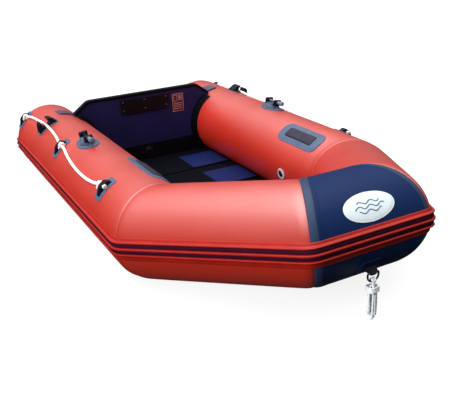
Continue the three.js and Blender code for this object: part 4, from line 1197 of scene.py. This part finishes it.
def build_floor():
    """Slats whose near-black cover is painted shade. A blue panel on each slat's port half paints the slat where
    sunlight falls on it.
    """
    for k in range(4):
        aft = 653 - k * 299
        fore = max(aft - 285, -452)
        place = Flat((0, (aft + fore) / 2 * MM, SLAT_FOOT), (1, 0, 0), (0, 0, 1))
        edge = [(0, 0), (0, 8.2), (0.7, 10.4), (2.2, 11.7), (4.5, 12.1), (15, 12.2), (16.2, 11.5),
                (17.8, 11.5), (19, 12.2)]
        laid(f"floor_slat_{k + 1}_cover", box_outline(664, aft - fore, 10, per_side=24), edge, place, SLAT_PAINTED_SHADE,
             stands_for=f"floor_slat_{k + 1}")
        # the blue panel paints sunlight on the slat's port half; the cover round it is painted shade
        panel = Flat((0.217, (aft + fore) / 2 * MM - 0.034, SLAT_FOOT), (1, 0, 0), (0, 0, 1))
        laid(f"floor_slat_{k + 1}_sunlit_panel", box_outline(206, 0.70 * (aft - fore), 7),
             [(0, 11.6), (0, 12.6), (0.5, 13.1), (1.4, 13.3), (5, 13.3), (6, 12.9), (7, 12.9), (8, 13.3)],
             panel, SLAT_PAINTED_SUNLIGHT)


def build_fittings():
    for side, sign in SIDES:
        for name, y, degrees in (("aft", 995, 47), ("middle", 331, 41), ("front", -292, 41)):
            build_anchor(f"lifeline_anchor_{name}_{side}", side_place(sign, y, degrees), sign)
        build_oar_holder(side, sign)
        build_rowlock(side, sign)
        build_seat_patch(side, sign)
        build_valve(side, sign)
    build_badge()
    build_tow_eye()


# ------------------------------------------------------------------ floor and light
def build_studio():
    """A pale floor that only the camera sees, the world's light and a broad sun from starboard."""
    look = Look("floor", (0.25, 0.25, 0.25), 0.9, 0.0, 0.0)
    look.vary(0.3, 0.01)
    look.shader["Emission Color"].default_value = (1, 1, 1, 1)
    look.shader["Emission Strength"].default_value = FLOOR_GLOW
    corners = [(x, y, 0) for x, y in ((-30, -30), (30, -30), (30, 30), (-30, 30))]
    floor = new_mesh("floor", corners, [(0, 1, 2, 3)], outwards=False)
    floor.materials.append(look.done(rough_spread=0))
    ground = add_object("floor", floor)
    ground.visible_diffuse = False
    ground.visible_glossy = False

    # a dim room with a wide bright ceiling, less of it over the bow
    world = bpy.data.worlds.new("studio")
    scene.world = world
    world.use_nodes = True
    tree = world.node_tree
    direction = add_node(tree, "ShaderNodeTexCoord").outputs["Generated"]
    towards = add_node(tree, "ShaderNodeSeparateXYZ", {"Vector": direction})
    light = {"Factor": 1}
    for socket, axis, stops in (("A", "Z", WORLD_HEIGHT), ("B", "Y", WORLD_BACK)):
        share = add_node(tree, "ShaderNodeMapRange", {"Value": towards.outputs[axis], "From Min": -1})
        light[socket] = add_ramp(tree, share.outputs["Result"],
                                 [(place, [value] * 3) for place, value in stops])
    both = add_node(tree, "ShaderNodeMix", light, data_type="RGBA", blend_type="MULTIPLY")
    background = tree.nodes["Background"].inputs
    tree.links.new(both.outputs["Result"], background["Color"])
    background["Strength"].default_value = WORLD_STRENGTH

    key = bpy.data.lights.new("key", "SUN")
    key.energy = KEY
    key.angle = math.radians(30)
    made = add_object("key", key)
    made.visible_glossy = False
    back = unit(KEY_FROM)
    side = unit(np.cross((0, 1, 0.001), back))
    made.matrix_world = standing(side, np.cross(back, side), back, (-3, 0, 3))


FLOOR_GLOW = 0.85
KEY, KEY_FROM = 2.9, (-0.93, -0.12, 0.33)
WORLD_STRENGTH = 3.65
WORLD_HEIGHT = [(0.0, 0.01), (0.45, 0.012), (0.60, 0.05), (0.80, 0.15), (0.87, 0.50), (0.93, 0.90),
                (1.0, 0.90)]
WORLD_BACK = [(0.0, 0.30), (0.40, 0.70), (0.52, 1.0), (1.0, 1.0)]
for build in (build_lifelines, build_painter, build_tubes, build_seams, build_strake, build_fittings,
              build_transom, build_bottom, build_floor, build_studio):
    build()
scene.view_settings.view_transform = "Standard"
scene.view_settings.look = "None"
